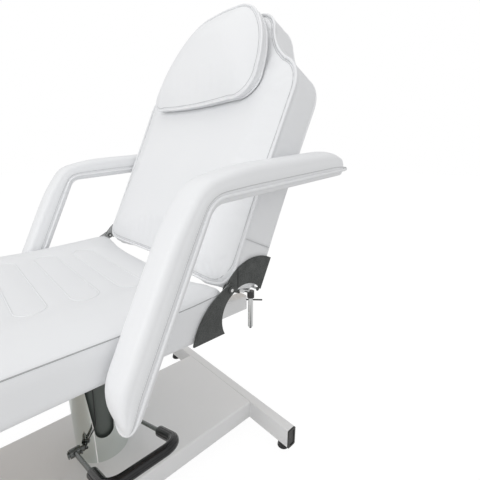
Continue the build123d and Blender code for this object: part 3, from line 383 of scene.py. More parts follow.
def cover_with_painted_highlight():
    """Chrome with a bright upright line of painted highlight."""
    f = Finish("cover_chrome")
    streaks = f.noise(60, 4, 0.6, f.stretched((1, 1, 0.06)))
    from_axis = f.vector("SUBTRACT", f.place, (0, COLUMN_Y, 0))
    beside = (math.sin(HIGHLIGHT_TURN), -math.cos(HIGHLIGHT_TURN), 0)
    ahead = (math.cos(HIGHLIGHT_TURN), math.sin(HIGHLIGHT_TURN), 0)
    off = abs(f.vector("DOT_PRODUCT", from_axis, beside, output="Value"))
    front = f.vector("DOT_PRODUCT", from_axis, ahead, output="Value")
    # Painted highlight: a thin upright white line, not metallic, at the given turn round the column.
    painted_highlight = (1 - f.ramp(off, 0.0010, 0.0018)) * f.ramp(front, 0.01, 0.02)
    plate = f.blend(f.noise(7, 3), rgb(0.62, 0.66, 0.635), rgb(0.77, 0.81, 0.78))
    f.set(Base_Color=f.blend(painted_highlight, plate, rgb(0.95, 0.95, 0.94)), Metallic=1 - painted_highlight)
    f.set(Roughness=0.05 + streaks * 0.09, Normal=f.bump(streaks, 0.05, 0.0006))
    return f


# The bright line on the cover is painted highlight, drawn in its finish.
print("the cover's weld is drawn in its finish")


# %% Wood and tape
def wood_rings(f):
    """Brown and pale rings, stretched along the board."""
    rings = f.noise(11, 5, 0.65, f.stretched((1, 0.12, 3)))
    return f.blend(rings, rgb(0.40, 0.26, 0.14), rgb(0.66, 0.49, 0.31))


def hemmed_board(name, node):
    """Plywood whose rim is hidden by the cover, which is pulled round it and stapled underneath."""
    f = Finish(name)
    weave = f.noise(700, 3)
    low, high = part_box(node)
    middle, half_length = (low[1] + high[1]) / 2, (high[1] - low[1]) / 2
    sides = f.ramp(abs(f.axis("X")), high[0] - HEM - 0.001, high[0] - HEM)
    ends = f.ramp(abs(f.axis("Y") - middle), half_length - HEM - 0.001, half_length - HEM)
    hem = f.maths("MAXIMUM", sides, ends)
    f.set(Base_Color=f.blend(hem, wood_rings(f), rgb(0.80, 0.81, 0.82)))
    f.set(Roughness=0.5 + weave * 0.2, Normal=f.bump(weave, 0.2, 0.0005))
    return f


plywood = Finish("plywood")
pores = plywood.noise(160, 3, 0.7, plywood.stretched((1, 0.08, 1)))
plywood.set(Base_Color=wood_rings(plywood), Roughness=0.62 + pores * 0.15)
plywood.set(Normal=plywood.bump(pores, 0.3, 0.0008))
tape = Finish("hook_tape")
loops = tape.node("ShaderNodeTexVoronoi", {}, {"Vector": tape.place, "Scale": 900.0}, "Distance")
tape.set(Base_Color=rgb(0.82, 0.82, 0.81), Roughness=0.75 + loops * 0.2, Normal=tape.bump(loops, 0.6, 0.001))
print("plywood has", len(plywood.tree.nodes), "nodes")

# %% [markdown]
# ## Giving each CAD piece its finish
# The record says which slot each CAD piece belongs to, and the slot says what it is made of.
# Putting the new material on the piece's slots changes its look and leaves its shape alone.

# %% Finish the CAD pieces
slot_finish = {"vinyl": vinyl, "tape": tape, "plywood": plywood, "chrome": chrome, "steel": steel}
slot_finish |= {"dark_casting": dark_casting, "dark_plate": dark_plate, "white_paint": white_paint}
slot_finish |= {"rubber": rubber, "black_plastic": black_plastic}
slot_of = {part["node"]: part["material_slot"] for part in frame["record"]["subparts"]}
own_finish = {
    "lower_plate_screws": dark_plate,
    "upper_plate_screws": hinge_coat("upper_screw_coat", 0.3100),
    "seat_board": hemmed_board("hemmed_seat_board", "seat_board"),
    "leg_board": hemmed_board("hemmed_leg_board", "leg_board"),
    "release_handle": handle_with_painted_reflection(),
    "pivot_bolts": bolt_with_bright_middle(),
    "cross_pin": dark_plate,
    "column_cover": cover_with_painted_highlight(),
    "valve_wire": black_plastic,
}
for node in ("pedal_bar", "pedal_shaft", "split_pins", "valve_lug"):
    own_finish[node] = pedal_steel
for name in ("lower_hinge_plate", "upper_hinge_plate"):
    for side in ("left", "right"):
        node = f"{name}_{side}"
        low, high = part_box(node)
        inner = min(abs(low[0]), abs(high[0]))
        own_finish[node] = hinge_coat(node + "_coat", inner, name == "upper_hinge_plate")
for node, thing in frame["nodes"].items():
    finish = own_finish.get(node, slot_finish[slot_of[node]]).material
    if not thing.data.materials:
        thing.data.materials.append(finish)
    for place in range(len(thing.data.materials)):
        thing.data.materials[place] = finish
print(len(frame["nodes"]), "CAD pieces have a finish")

# %% [markdown]
# ## How a pad is made
# A real cushion is a board with foam on it and a sewn cover pulled round both.
# The seams hold the cover in, and the foam pushes it out between them.
# So each pad starts as a plain block in its own flat position: the board side down at height zero,
# the sitter's side up. Its outline comes from the same arcs as the CAD solid.
# The block is then remeshed into small squares, and a cloth simulation with a little pressure swells it
# while its seams are held.


# %% Outlines from arcs
BOW = 0.003
ROUND = 1 - math.sqrt(0.5)
SKIN = 0.001


def arc(start, middle, end, steps):
    """Points on the circle through three points, without the last one."""
    (ax, ay), (mx, my), (bx, by) = start, middle, end
    d = 2 * (ax * (my - by) + mx * (by - ay) + bx * (ay - my))
    if abs(d) < 1e-9:
        return [(ax + (bx - ax) * k / steps, ay + (by - ay) * k / steps) for k in range(steps)]
    a2, m2, b2 = ax * ax + ay * ay, mx * mx + my * my, bx * bx + by * by
    x = (a2 * (my - by) + m2 * (by - ay) + b2 * (ay - my)) / d
    y = (a2 * (bx - mx) + m2 * (ax - bx) + b2 * (mx - ax)) / d
    first = math.atan2(ay - y, ax - x)
    turn = (math.atan2(by - y, bx - x) - first) % math.tau
    if (math.atan2(my - y, mx - x) - first) % math.tau > turn:
        turn -= math.tau
    radius = math.hypot(ax - x, ay - y)
    angles = [first + turn * k / steps for k in range(steps)]
    return [(x + radius * math.cos(t), y + radius * math.sin(t)) for t in angles]


def block_outline(half, low, high, rear_bow, inset=0.0):
    """A rectangle with round corners and sides that bow inwards a little.

    The seat's rear side bows more, and its cover is pulled tighter round the rear corners.
    """
    w, a, b, r = half - inset, low + inset, high - inset, 0.040 + inset / 2
    t = 0.6 * r if rear_bow > BOW else r
    d, e = r * ROUND, t * ROUND
    mid = (a + b) / 2
    points = arc((-w + r, a), (0, a + BOW), (w - r, a), 40)
    points += arc((w - r, a), (w - d, a + d), (w, a + r), 8)
    points += arc((w, a + r), (w - BOW, mid), (w, b - t), 36)
    points += arc((w, b - t), (w - e, b - e), (w - t, b), 8)
    points += arc((w - t, b), (0, b - rear_bow), (-w + t, b), 40)
    points += arc((-w + t, b), (-w + e, b - e), (-w, b - t), 8)
    points += arc((-w, b - t), (-w + BOW, mid), (-w, a + r), 36)
    points += arc((-w, a + r), (-w + d, a + d), (-w + r, a), 8)
    return points
def both_halves(right, steps, under, over):
    """An outline from the arcs of its right half, an arc under it and one over it."""
    side = []
    for one, count in zip(right, steps):
        side += arc(*one, count)
    side.append(right[-1][2])
    left = [(-x, y) for x, y in reversed(side)]
    return side[:-1] + arc(side[-1], over, left[0], 24) + left[:-1] + arc(left[-1], under, side[0], 40)


def facing(share, turn, half, length, start, inset):
    """A listed place of the outline, moved inwards along the direction that the edge faces there."""
    t = math.radians(turn)
    return share[0] * half - inset * math.cos(t), start + share[1] * length - inset * math.sin(t)


def back_outline(inset=0.0):
    places = [(1, 0.618), (0.951, 0.689), (0.822, 0.737), (0.68, 0.796), (0.60, 0.856), (0.53, 0.91)]
    places.append((0.36, 0.945))
    turns = [0, 33, 50, 40, 18, 42, 78]
    s = [facing(p, t, BACK_HALF, BACK_LENGTH, 0, inset) for p, t in zip(places, turns)]
    w, low, r = BACK_HALF - inset, 0.003 + inset, 0.035 + inset / 2
    d = r * ROUND
    right = [
        ((w - r, low), (w - d, low + d), (w, low + r)),
        ((w, low + r), (w - 0.003, (low + r + s[0][1]) / 2), s[0]),
        (s[0], s[1], s[2]),
        (s[2], s[3], s[4]),
        (s[4], s[5], s[6]),
    ]
    return both_halves(right, (8, 30, 10, 12, 14), (0, low + 0.003), (0, 0.965 * BACK_LENGTH - inset))


def pillow_outline(inset=0.0):
    places = [(0.70, 0.02), (0.955, 0.095), (1.0, 0.27), (0.89, 0.60), (0.68, 0.84), (0.45, 0.965), (0.22, 1)]
    turns = [-80, -38, 6, 27, 45, 66, 84]
    s = [facing(p, t, 0.2156, 0.276, 0.408, inset) for p, t in zip(places, turns)]
    right = [(s[0], s[1], s[2]), (s[2], s[3], s[4]), (s[4], s[5], s[6])]
    return both_halves(right, (14, 18, 12), (0, 0.407 + inset), (0, 0.6865 - inset))


print("outline points:", len(back_outline()), len(pillow_outline()))

# %% [markdown]
# ## Editing tools
# These are the steps of modelling by hand: take nothing else along, add a primitive,
# work on it in edit mode, and finish it with modifiers.


# %% Editing helpers
def only(thing):
    """Select one object and nothing else."""
    bpy.ops.object.select_all(action="DESELECT")
    thing.select_set(True)
    bpy.context.view_layer.objects.active = thing
    return thing


def start_piece(name):
    """Name the piece that was just made."""
    thing = bpy.context.active_object
    thing.name = thing.data.name = name
    return thing


def apply_all(thing):
    only(thing)
    for modifier in list(thing.modifiers):
        bpy.ops.object.modifier_apply(modifier=modifier.name)
    return thing


def positions(thing):
    found = np.empty(len(thing.data.vertices) * 3)
    thing.data.vertices.foreach_get("co", found)
    return found.reshape(-1, 3)


def move_to(thing, places):
    thing.data.vertices.foreach_set("co", np.asarray(places, dtype=float).ravel())
    thing.data.update()


def subdivide(thing, levels):
    finer = thing.modifiers.new("finer", "SUBSURF")
    finer.levels = finer.render_levels = levels
    return apply_all(thing)


def smooth(thing, degrees):
    only(thing)
    bpy.ops.object.shade_smooth_by_angle(angle=math.radians(degrees))
    return thing


def settle(thing, turn=0.0, shift=(0, 0, 0)):
    """Tip a finished pad about X, move it to its place on the chair and put that into its mesh."""
    only(thing)
    thing.rotation_euler = (turn, 0, 0)
    thing.location = shift
    bpy.ops.object.transform_apply(location=True, rotation=True, scale=True)
    return thing


def edit_all():
    bpy.ops.object.mode_set(mode="EDIT")
    bpy.ops.mesh.select_all(action="SELECT")


def face_outwards():
    """Turn every face of the mesh in edit mode outwards, and leave edit mode."""
    bpy.ops.mesh.select_all(action="SELECT")
    bpy.ops.mesh.normals_make_consistent(inside=False)
    bpy.ops.object.mode_set(mode="OBJECT")


def bevel_rim(thing, height, width):
    """Bevel the sharp rim that lies at one height."""
    only(thing)
    bpy.ops.object.mode_set(mode="EDIT")
    bpy.ops.mesh.select_mode(type="EDGE")
    bpy.ops.mesh.select_all(action="DESELECT")
    mesh = bmesh.from_edit_mesh(thing.data)
    for edge in mesh.edges:
        edge.select = all(abs(corner.co.z - height) < 1e-5 for corner in edge.verts)
    bmesh.update_edit_mesh(thing.data)
    bpy.ops.mesh.bevel(offset=width, segments=3)
    bpy.ops.mesh.select_mode(type="VERT")
    bpy.ops.object.mode_set(mode="OBJECT")


def block(name, outline, height, inset, edge=0.009, foot=0.004):
    """A closed block: an outline filled, extruded and with its upper and lower rims bevelled."""
    bpy.ops.object.select_all(action="DESELECT")
    bpy.ops.mesh.primitive_circle_add(vertices=len(outline), radius=0.3, fill_type="NGON")
    thing = start_piece(name)
    move_to(thing, [(x, y, inset) for x, y in outline])
    edit_all()
    bpy.ops.mesh.extrude_region_move(TRANSFORM_OT_translate={"value": (0, 0, height - 2 * inset)})
    face_outwards()
    bevel_rim(thing, height - inset, edge)
    bevel_rim(thing, inset, foot)
    return thing


def squares(thing, size):
    """Rebuild the surface from small even squares, as cloth needs."""
    remesh = thing.modifiers.new("squares", "REMESH")
    remesh.mode = "VOXEL"
    remesh.voxel_size = size
    return apply_all(thing)


print("editing helpers ready")

# %% [markdown]
# ## Swelling a pad
# Cloth with pressure behaves like a cover over foam. The points in the group named held don't move:
# they are the seams and the board side.
# Every other point may move by no more than a cap, so that a pad can't grow into its neighbours.


# %% Cloth helper
def swell(thing, places, held, tall, cap, slack=0.0):
    """Run a short cloth simulation from the given places, keep its result and make the mesh finer.

    The sides, below the height tall, hardly move.
    """
    move_to(thing, places)
    rest = positions(thing)
    cap = np.where(rest[:, 2] > tall - 0.004, cap, 0.0008)
    group = thing.vertex_groups.new(name="held")
    for index in np.flatnonzero(held > 0.02):
        group.add([int(index)], float(min(held[index], 1.0)), "REPLACE")
    only(thing)
    cloth = thing.modifiers.new("cover", "CLOTH")
    cover = cloth.settings
    cover.quality = 4
    cover.mass = 0.4
    cover.tension_stiffness = cover.compression_stiffness = 12
    cover.bending_stiffness = 0.4
    cover.use_pressure = True
    cover.uniform_pressure_force = 4.0
    cover.shrink_min = -slack
    cover.vertex_group_mass = "held"
    cover.effector_weights.gravity = 0
    for number in range(1, 21):
        bpy.context.scene.frame_set(number)
    bpy.ops.object.modifier_apply(modifier=cloth.name)
    bpy.context.scene.frame_set(1)
    moved = positions(thing) - rest
    length = np.linalg.norm(moved, axis=1)
    keep = np.minimum(1, cap / np.maximum(length, 1e-9))
    move_to(thing, rest + moved * keep[:, None])
    print(thing.name, "swelled by up to", round(float((length * keep).max()) * 1000, 1), "mm")
    subdivide(thing, 1)


def seam_mask(distance, half_width):
    """1 on the seam line, falling to 0 at half_width from it."""
    t = np.clip(1 - np.asarray(distance) / half_width, 0, 1)
    return t * t * (3 - 2 * t)


# The seam attribute is how much painted shade darkens the vinyl at each point.
def write_seam(thing, mask):
    layer = thing.data.attributes.new("seam", "FLOAT", "POINT")
    layer.data.foreach_set("value", np.asarray(mask, dtype=np.float32))


def rim_distance(places, outline):
    """How far each point is from a closed outline, looking straight down on it."""
    ring = np.array(outline)
    following = np.roll(ring, -1, axis=0)
    best = np.full(len(places), 9.0)
    for a, b in zip(ring, following):
        along = b - a
        t = np.clip(((places[:, :2] - a) @ along) / (along @ along), 0, 1)
        apart = places[:, :2] - a - t[:, None] * along
        best = np.minimum(best, np.hypot(apart[:, 0], apart[:, 1]))
    return best

def upper_side(pad, rim, tall, lip, step):
    """A pad's points, how far each belongs to its upper side (0 to 1), and how far it is from the rim."""
    places = positions(pad)
    top = np.clip((places[:, 2] - tall + lip) / step, 0, 1)
    return places, top, rim_distance(places, rim)


def crowned(pad, rim, tall, rise, reach=0.10, lip=(0.012, 0.008), seam_width=0.012, foot=0.010):
    """Raise the upper side in a crown that starts at the rim, and find what the seam and the board hold."""
    places, top, edge = upper_side(pad, rim, tall, *lip)
    places[:, 2] += rise * top * (1 - np.clip(1 - edge / reach, 0, 1) ** 2)
    held = seam_mask(np.hypot(edge, places[:, 2] - tall), seam_width)
    return places, top, np.maximum(held, (places[:, 2] < foot).astype(float))


print("cloth helpers ready")

# %% [markdown]
# ## Piping
# Piping is a cord in a folded strip of vinyl, sewn into the seam where two panels meet.
# It is what makes the crisp round edge of the backrest, the pillow and the armrests.
# A curve that follows the outline, with a round bevel, is the simplest true form of it.
# It is made a mesh at the end.


# %% Piping helper
PIPE = 0.0034
FINE_THREAD = 0.0008


def piping(name, points, radius):
    line = bpy.data.curves.new(name, "CURVE")
    line.dimensions = "3D"
    run = line.splines.new("NURBS")
    run.points.add(len(points) - 1)
    for point, place in zip(run.points, points):
        point.co = (*place, 1)
    run.order_u = 3
    run.use_cyclic_u = True
    run.resolution_u = 2
    line.bevel_depth = radius
    line.bevel_resolution = 3
    thing = bpy.data.objects.new(name, line)
    bpy.context.collection.objects.link(thing)
    only(thing)
    bpy.ops.object.convert(target="MESH")
    return smooth(start_piece(name), 80)


def level(outline, height):
    return np.array([(x, y, height) for x, y in outline])


def laid(pad, outline, lowest, sink):
    """The outline laid on the pad's upper side: each point takes the height of the surface there."""
    surface = positions(pad)
    surface = surface[surface[:, 2] > lowest]
    heights = []
    for x, y in outline:
        near = np.argpartition(np.hypot(surface[:, 0] - x, surface[:, 1] - y), 5)[:5]
        heights.append(surface[near, 2].mean())
    heights = np.array(heights)
    even = (heights + np.roll(heights, 1) + np.roll(heights, -1)) / 3
    return [(x, y, z - sink) for (x, y), z in zip(outline, even)]


def dress(thing, body, *nodes, fill=None, finish=None):
    """Give a new piece its vinyl, the body that it moves with and the CAD nodes that it stands for."""
    thing.data.materials.clear()
    thing.data.materials.append((finish or vinyl).material)
    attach(thing, body)
    if nodes:
        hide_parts(*nodes)
    print(thing.name, len(thing.data.polygons), "faces on", body)
    return thing


print("piping helper ready")

# %% [markdown]
# ## Seat and leg pads
# Both are flat blocks, with one thin dark seam where the top panel meets the side band: a cord coloured as
# painted shade.
# The seat top has four long loops of fine topstitching that stop short of the sides.
# The loops could be cut with a boolean, but a sewn line is a shallow valley with a thread in it.
# So the points near each loop are drawn down a little and held while the cover swells,
# and a fine cord is laid in afterwards.


# %% Seat and leg pads
CHANNELS = [0.052 + COLUMN_Y - 0.091 * n for n in range(4)]
CHANNEL_HALF, CHANNEL_ROUND = 0.174, 0.0255


def channel_loop(y):
    """One sewn loop: a long hole's outline across the seat."""
    straight = CHANNEL_HALF - CHANNEL_ROUND
    front = [(-straight + 2 * straight * k / 24, y - CHANNEL_ROUND) for k in range(24)]
    rear = [(-x, 2 * y - v) for x, v in front]
    near = arc((straight, y - CHANNEL_ROUND), (CHANNEL_HALF, y), (straight, y + CHANNEL_ROUND), 10)
    far = [(-x, 2 * y - v) for x, v in near]
    return front + near + rear + far


def channel_distance(places):
    """Distance to the nearest of the four sewn loops."""
    best = np.full(len(places), 9.0)
    for middle in CHANNELS:
        x = np.maximum(np.abs(places[:, 0]) - CHANNEL_HALF + CHANNEL_ROUND, 0)
        best = np.minimum(best, np.abs(np.hypot(x, places[:, 1] - middle) - CHANNEL_ROUND))
    return best


def flat_pad(name, half, low, high, rear_bow, channels):
    """One block pad in its own flat place."""
    rim = block_outline(half, low, high, rear_bow)
    pad = squares(block(name, block_outline(half, low, high, rear_bow, SKIN), SEAT_HEIGHT, SKIN), 0.0062)
    places, top, held = crowned(pad, rim, SEAT_HEIGHT, rise=0.015, reach=0.12)
    if channels:
        loops = seam_mask(channel_distance(places), 0.006) * top
        places[:, 2] -= 0.0008 * loops
        held = np.maximum(held, loops)
    swell(pad, places, held, SEAT_HEIGHT, cap=0.003)
    places, top, edge = upper_side(pad, rim, SEAT_HEIGHT, 0.006, 0.006)
    shade = 0.5 * seam_mask(edge, 0.006) * top
    if channels:
        rearward = np.clip((places[:, 1] - high + 0.216) / 0.19, 0, 1)
        outward = np.clip((np.abs(places[:, 0]) - 0.18) / 0.08, 0, 1)
        places[:, 2] += 0.010 * rearward * outward * np.clip(places[:, 2] / SEAT_HEIGHT, 0, 1)
        move_to(pad, places)
        shade = np.maximum(shade, 0.42 * seam_mask(channel_distance(places), 0.005) * top)
    write_seam(pad, shade)
    return smooth(pad, 60)


def rim_line(pad, name, half, low, high, rear_bow):
    """The thin dark line where the top panel is sewn to the side band: a fine cord coloured as painted shade.
    """
    line = block_outline(half, low, high, rear_bow, 0.0038)
    return piping(name, laid(pad, line, lowest=SEAT_HEIGHT - 0.012, sink=-0.0004), 0.0011)


seat_measures = (SEAT_HALF, SEAT_FRONT, SEAT_REAR, 0.016)
seat_pad = flat_pad("seat_pad", *seat_measures, True)
seat_seam = rim_line(seat_pad, "seat_seam", *seat_measures)
loops = []
for number, middle in enumerate(CHANNELS, 1):
    line = laid(seat_pad, channel_loop(middle), lowest=0.07, sink=0.0001)
    loops.append(piping(f"seat_channel_{number}", line, 0.0010))
for thing in (seat_pad, seat_seam, *loops):
    settle(thing, shift=(0, 0, SEAT_BOTTOM))
dress(seat_pad, "seat", "seat_cushion", fill=0.9)
dress(seat_seam, "seat", finish=seam_shadow)
for thing in loops:
    dress(thing, "seat")

LEG_DROP = math.radians(20)
leg_axis = Vector((0, -0.346 + COLUMN_Y, 0.4855))
leg_rear = SEAT_FRONT - 0.012
leg_measures = (BACK_HALF, leg_rear - 0.540, leg_rear, BOW)
leg_pad = flat_pad("leg_pad", *leg_measures, False)
leg_seam = rim_line(leg_pad, "leg_seam", *leg_measures)
for thing in (leg_pad, leg_seam):
    settle(thing, shift=-leg_axis + Vector((0, 0, SEAT_BOTTOM)))
    settle(thing, turn=LEG_DROP, shift=leg_axis)
dress(leg_pad, "leg_rest", "leg_cushion", fill=0.9)
dress(leg_seam, "leg_rest", finish=seam_shadow)

# %% [markdown]
# ## Backrest
# The backrest is a tall pad that narrows into a head part. Its front panel and its rear rim are piped,
# and the cover wrinkles a little where it is pulled round the lower end.
# The wrinkles come from making the cover a little larger than the foam, which the cloth solver calls
# a negative shrink.


# %% Backrest pad
BACK_STITCH = 0.0095


def plane_to_chair(thing, low):
    """From the flat position to the leaning backrest, whose front plane is at height zero until it tips."""
    settle(thing, shift=(0, 0, low))
    return settle(thing, turn=math.pi / 2 - RECLINE, shift=PIVOT)


def leaned(places):
    """The head's top leans: its board side reaches further up than its front, and is narrower."""
    depth = np.clip(1 - places[:, 2] / BACK_THICK, 0, 1)
    head = np.clip((places[:, 1] - 0.60) / 0.06, 0, 1)
    places[:, 1] += 0.020 * depth * head
    places[:, 0] *= 1 - 0.11 * depth * head
    return places


def slack_edge(places):
    """The cover hangs lower along the lower edge, most of all on the sitter's left, where it is used most."""
    x, y, z = places[:, 0], places[:, 1], places[:, 2]
    left = 0.011 * np.clip(x / 0.17, 0, 1) * np.clip((0.300 - x) / 0.06, 0, 1)
    right = 0.003 * np.clip(-x / 0.17, 0, 1) * np.clip((0.300 + x) / 0.06, 0, 1)
    places[:, 1] -= (left + right) * np.clip(1 - y / 0.09, 0, 1) * np.clip(z / 0.04, 0, 1)
    room = 0.0058 + 0.0080 * np.clip((0.27 - np.abs(x)) / 0.06, 0, 1)
    places[:, 1] = np.maximum(places[:, 1], -room)
    return places


def corner_folds(places):
    """Small folds that run up from the two lower corners, where the cover is pulled round and stapled."""
    x, y = np.abs(places[:, 0]) - BACK_HALF + 0.03, places[:, 1]
    reach = np.clip(1 - y / 0.11, 0, 1) * np.clip(1 - np.abs(x) / 0.16, 0, 1)
    return reach * np.sin(np.arctan2(x, y + 0.02) * 19 + 3 * places[:, 2] / 0.03)


def back_pad_piece():
    rim = back_outline()
    pad = squares(block("back_pad", back_outline(SKIN), BACK_THICK, SKIN), 0.0066)
    rise = 0.020 - 0.008 * np.clip((positions(pad)[:, 1] - 0.26) / 0.12, 0, 1)
    places, _, held = crowned(pad, rim, BACK_THICK, rise, seam_width=0.014)
    swell(pad, places, held, BACK_THICK, cap=0.005, slack=0.012)
    places, top, edge = upper_side(pad, rim, BACK_THICK, 0.006, 0.006)
    folds = corner_folds(places)
    places[:, 2] += 0.0011 * folds * top * np.clip(edge / 0.012, 0, 1)
    band = (1 - top) * (edge < 0.02) * np.clip(places[:, 2] / 0.02, 0, 1)
    places[:, 0] += 0.0016 * folds * band * np.sign(places[:, 0]) * (places[:, 1] > 0.02)
    sag = np.clip((np.abs(places[:, 0]) - 0.17) / 0.08, 0, 1) * np.clip(1 - places[:, 1] / 0.03, 0, 1)
    hollow = np.sin(np.pi * np.clip(places[:, 2] / (BACK_THICK - 0.004), 0, 1) ** 2.2)
    places[:, 1] -= (0.003 + 0.009 * sag + 0.0015 * folds) * hollow * (places[:, 1] < 0.02)
    move_to(pad, leaned(slack_edge(places)))
    # Painted shade along the backrest's topstitching.
    write_seam(pad, 0.25 * seam_mask(np.abs(edge - BACK_STITCH), 0.005) * top)
    return smooth(pad, 60)


def band_seam(name, side):
    """The upright seam in the side band, from the front piping to the rear piping."""
    x = side * (BACK_HALF + 0.0002)
    points = [(x, 0.108, 0.008 + 0.078 * k / 12) for k in range(13)]
    points += [(x - side * 0.0012, 0.108, z) for _, _, z in reversed(points)]
    return piping(name, points, FINE_THREAD)


def back_cord(name, ring, radius):
    """A cord on the backrest's rim."""
    return plane_to_chair(piping(name, ring, radius), BACK_LOW)


back_pad = back_pad_piece()
stitch_ring = slack_edge(level(back_outline(BACK_STITCH), BACK_THICK))
stitch_line = laid(back_pad, stitch_ring[:, :2], lowest=0.075, sink=0.0001)
top_stitch = piping("back_top_stitch", stitch_line, 0.0009)
plane_to_chair(back_pad, BACK_LOW)
plane_to_chair(top_stitch, BACK_LOW)
front_ring = slack_edge(level(back_outline(0.002), BACK_THICK - 0.001))
front_piping = back_cord("back_front_piping", front_ring, PIPE)
rear_ring = leaned(level(back_outline(0.003), 0.0065))
rear_piping = back_cord("back_rear_piping", rear_ring, 0.0030)
back_panel = block("back_panel", back_outline(0.008), 0.015, 0.0, 0.001, 0.001)
move_to(back_panel, leaned(positions(back_panel)))
smooth(plane_to_chair(back_panel, BACK_LOW), 40)
back_panel.data.materials.append(plywood.material)
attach(back_panel, "backrest")
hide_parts("back_board")
dress(back_pad, "backrest", "back_cushion", fill=0.9)
dress(top_stitch, "backrest", finish=stitching)
dress(front_piping, "backrest")
dress(rear_piping, "backrest")
for side, name in ((1, "back_seam_left"), (-1, "back_seam_right")):
    dress(plane_to_chair(band_seam(name, side), BACK_LOW), "backrest", finish=stitching)

# %% [markdown]
# ## Head pillow
# A separate firm pillow lies on the head part, held by two strips of tape.
# It has a crowned face, a side band and piping on both rims.


# %% Pillow
PILLOW_TALL = 0.022
PILLOW_LOW = 0.0155
PILLOW_STITCH = 0.008


def tucked(places):
    """Draw the band's board side in along the pillow's lower edge, where the cover is pulled under."""
    under = np.clip(1 - places[:, 2] / PILLOW_TALL, 0, 1)
    near = np.clip(1 - (places[:, 1] - 0.405) / 0.07, 0, 1)
    places[:, 1] += 0.012 * under * near
    return places


def pillow_piece():
    rim = pillow_outline()
    pad = squares(block("pillow", pillow_outline(SKIN), PILLOW_TALL, SKIN, 0.006, 0.003), 0.0050)
    places, _, held = crowned(pad, rim, PILLOW_TALL, rise=0.026, lip=(0.009, 0.006), foot=0.006)
    swell(pad, places, held, PILLOW_TALL, cap=0.004, slack=0.006)
    places, top, edge = upper_side(pad, rim, PILLOW_TALL, 0.005, 0.005)
    # Painted shade along the pillow's topstitching.
    write_seam(pad, 0.25 * seam_mask(np.abs(edge - PILLOW_STITCH), 0.005) * top)
    move_to(pad, tucked(places))
    return smooth(pad, 60)


def pillow_rim(name, inset, height, radius):
    ring = tucked(level(pillow_outline(inset), height))
    return plane_to_chair(piping(name, ring, radius), PILLOW_LOW)


pillow = pillow_piece()
stitch_line = laid(pillow, pillow_outline(PILLOW_STITCH), lowest=0.018, sink=0.0001)
pillow_stitch = piping("pillow_stitch", stitch_line, FINE_THREAD)
plane_to_chair(pillow, PILLOW_LOW)
plane_to_chair(pillow_stitch, PILLOW_LOW)
pillow_front = pillow_rim("pillow_front_piping", 0.0015, PILLOW_TALL - 0.0005, 0.0030)
pillow_rear = pillow_rim("pillow_rear_piping", 0.001, 0.0040, 0.0026)
dress(pillow, "backrest", "head_pillow", fill=0.8)
dress(pillow_stitch, "backrest", finish=stitching)
dress(pillow_front, "backrest")
dress(pillow_rear, "backrest")

# %% [markdown]
# ## Armrests
# Each armrest is one long bent pad: a crowned upper half with a piped rim, and a shallow padded underside.
# Its section is drawn once as a ring of points. Spin turns half of the section round an end,
# extrude runs it straight, and another spin takes it round the bend, as an upholsterer's board is bent.


# %% Armrest sections
ARM_X = 0.351
ARM_CORNER = Vector((0, 0.095 + COLUMN_Y, 0.767))
RISE = math.radians(5)
LEAN = math.radians(25.5)
BEND = 0.045
TOP_RUN = 0.372
FRONT_RUN = 0.349
top_way = Vector((0, math.cos(RISE), math.sin(RISE)))
front_way = Vector((0, -math.sin(LEAN), -math.cos(LEAN)))
TURN = math.pi - top_way.angle(front_way)
TRIM = BEND / math.tan(top_way.angle(front_way) / 2)
arm_rear = ARM_CORNER + top_way * TOP_RUN
arm_low = ARM_CORNER + front_way * FRONT_RUN
bend_start = ARM_CORNER + top_way * TRIM
bend_centre = bend_start + Vector((0, top_way.z, -top_way.y)) * BEND
print("armrest bends by", round(math.degrees(TURN), 1), "degrees")


def pad_section():
    """Right half of the pad's section from its rim to its crown, as (across, up)."""
    w, h = 0.034, 0.044
    half = arc((w * 0.95, 0), (w * 1.03, h * 0.3), (w * 0.98, h * 0.58), 6)
    half += arc((w * 0.98, h * 0.58), (w * 0.84, h * 0.85), (w * 0.55, h * 0.96), 6)
    return half + arc((w * 0.55, h * 0.96), (w * 0.28, h * 0.995), (0, h), 4) + [(0, h)]


def base_section():
    """Right half of the underside's section, from its rim to its lowest line."""
    w, d = 0.0325, 0.014
    half = arc((w, -0.0005), (w * 0.95, -d * 0.55), (w * 0.81, -d * 0.85), 5)
    return half + arc((w * 0.81, -d * 0.85), (w / 2, -d * 0.97), (0, -d), 5) + [(0, -d)]


# %% Armrest shape
HALF_TURN = BEND * TURN / 2
PAD_BOW = (0.080, 0.22)
BASE_BOW = (0.030, 0.0)


def arm_shape(places, taper, thinned):
    """Lower the pad towards both tips, like a bow, and a little round the bend.

    Each point's height over the board is found from the run that it lies on, and scaled.
    """
    shaped = []
    up_top, up_front = Vector((0, -top_way.z, top_way.y)), Vector((0, front_way.z, -front_way.y))
    for place in places:
        arm = Vector((0, place[1], place[2])) - bend_centre
        if arm @ top_way > 0:
            up, along = up_top, arm @ top_way
            height, end = arm @ up - BEND, TOP_RUN - TRIM + 0.034 - along
        elif arm @ front_way > 0:
            up, along = up_front, arm @ front_way
            height, end = arm @ up - BEND, FRONT_RUN - TRIM + 0.034 - along
        else:
            up, along, end = arm.normalized(), 0.0, 1.0
            height = arm.length - BEND
        bow = math.sin(math.pi / 2 * min(max(end / taper, 0.04), 1))
        near = math.exp(-(((along + (HALF_TURN if along else 0)) / 0.055) ** 2))
        factor = bow * (1 - thinned * near)
        shaped.append(Vector(place) + up * height * (factor - 1))
    return shaped


print("bend takes", round(2 * HALF_TURN * 1000), "mm of the board")


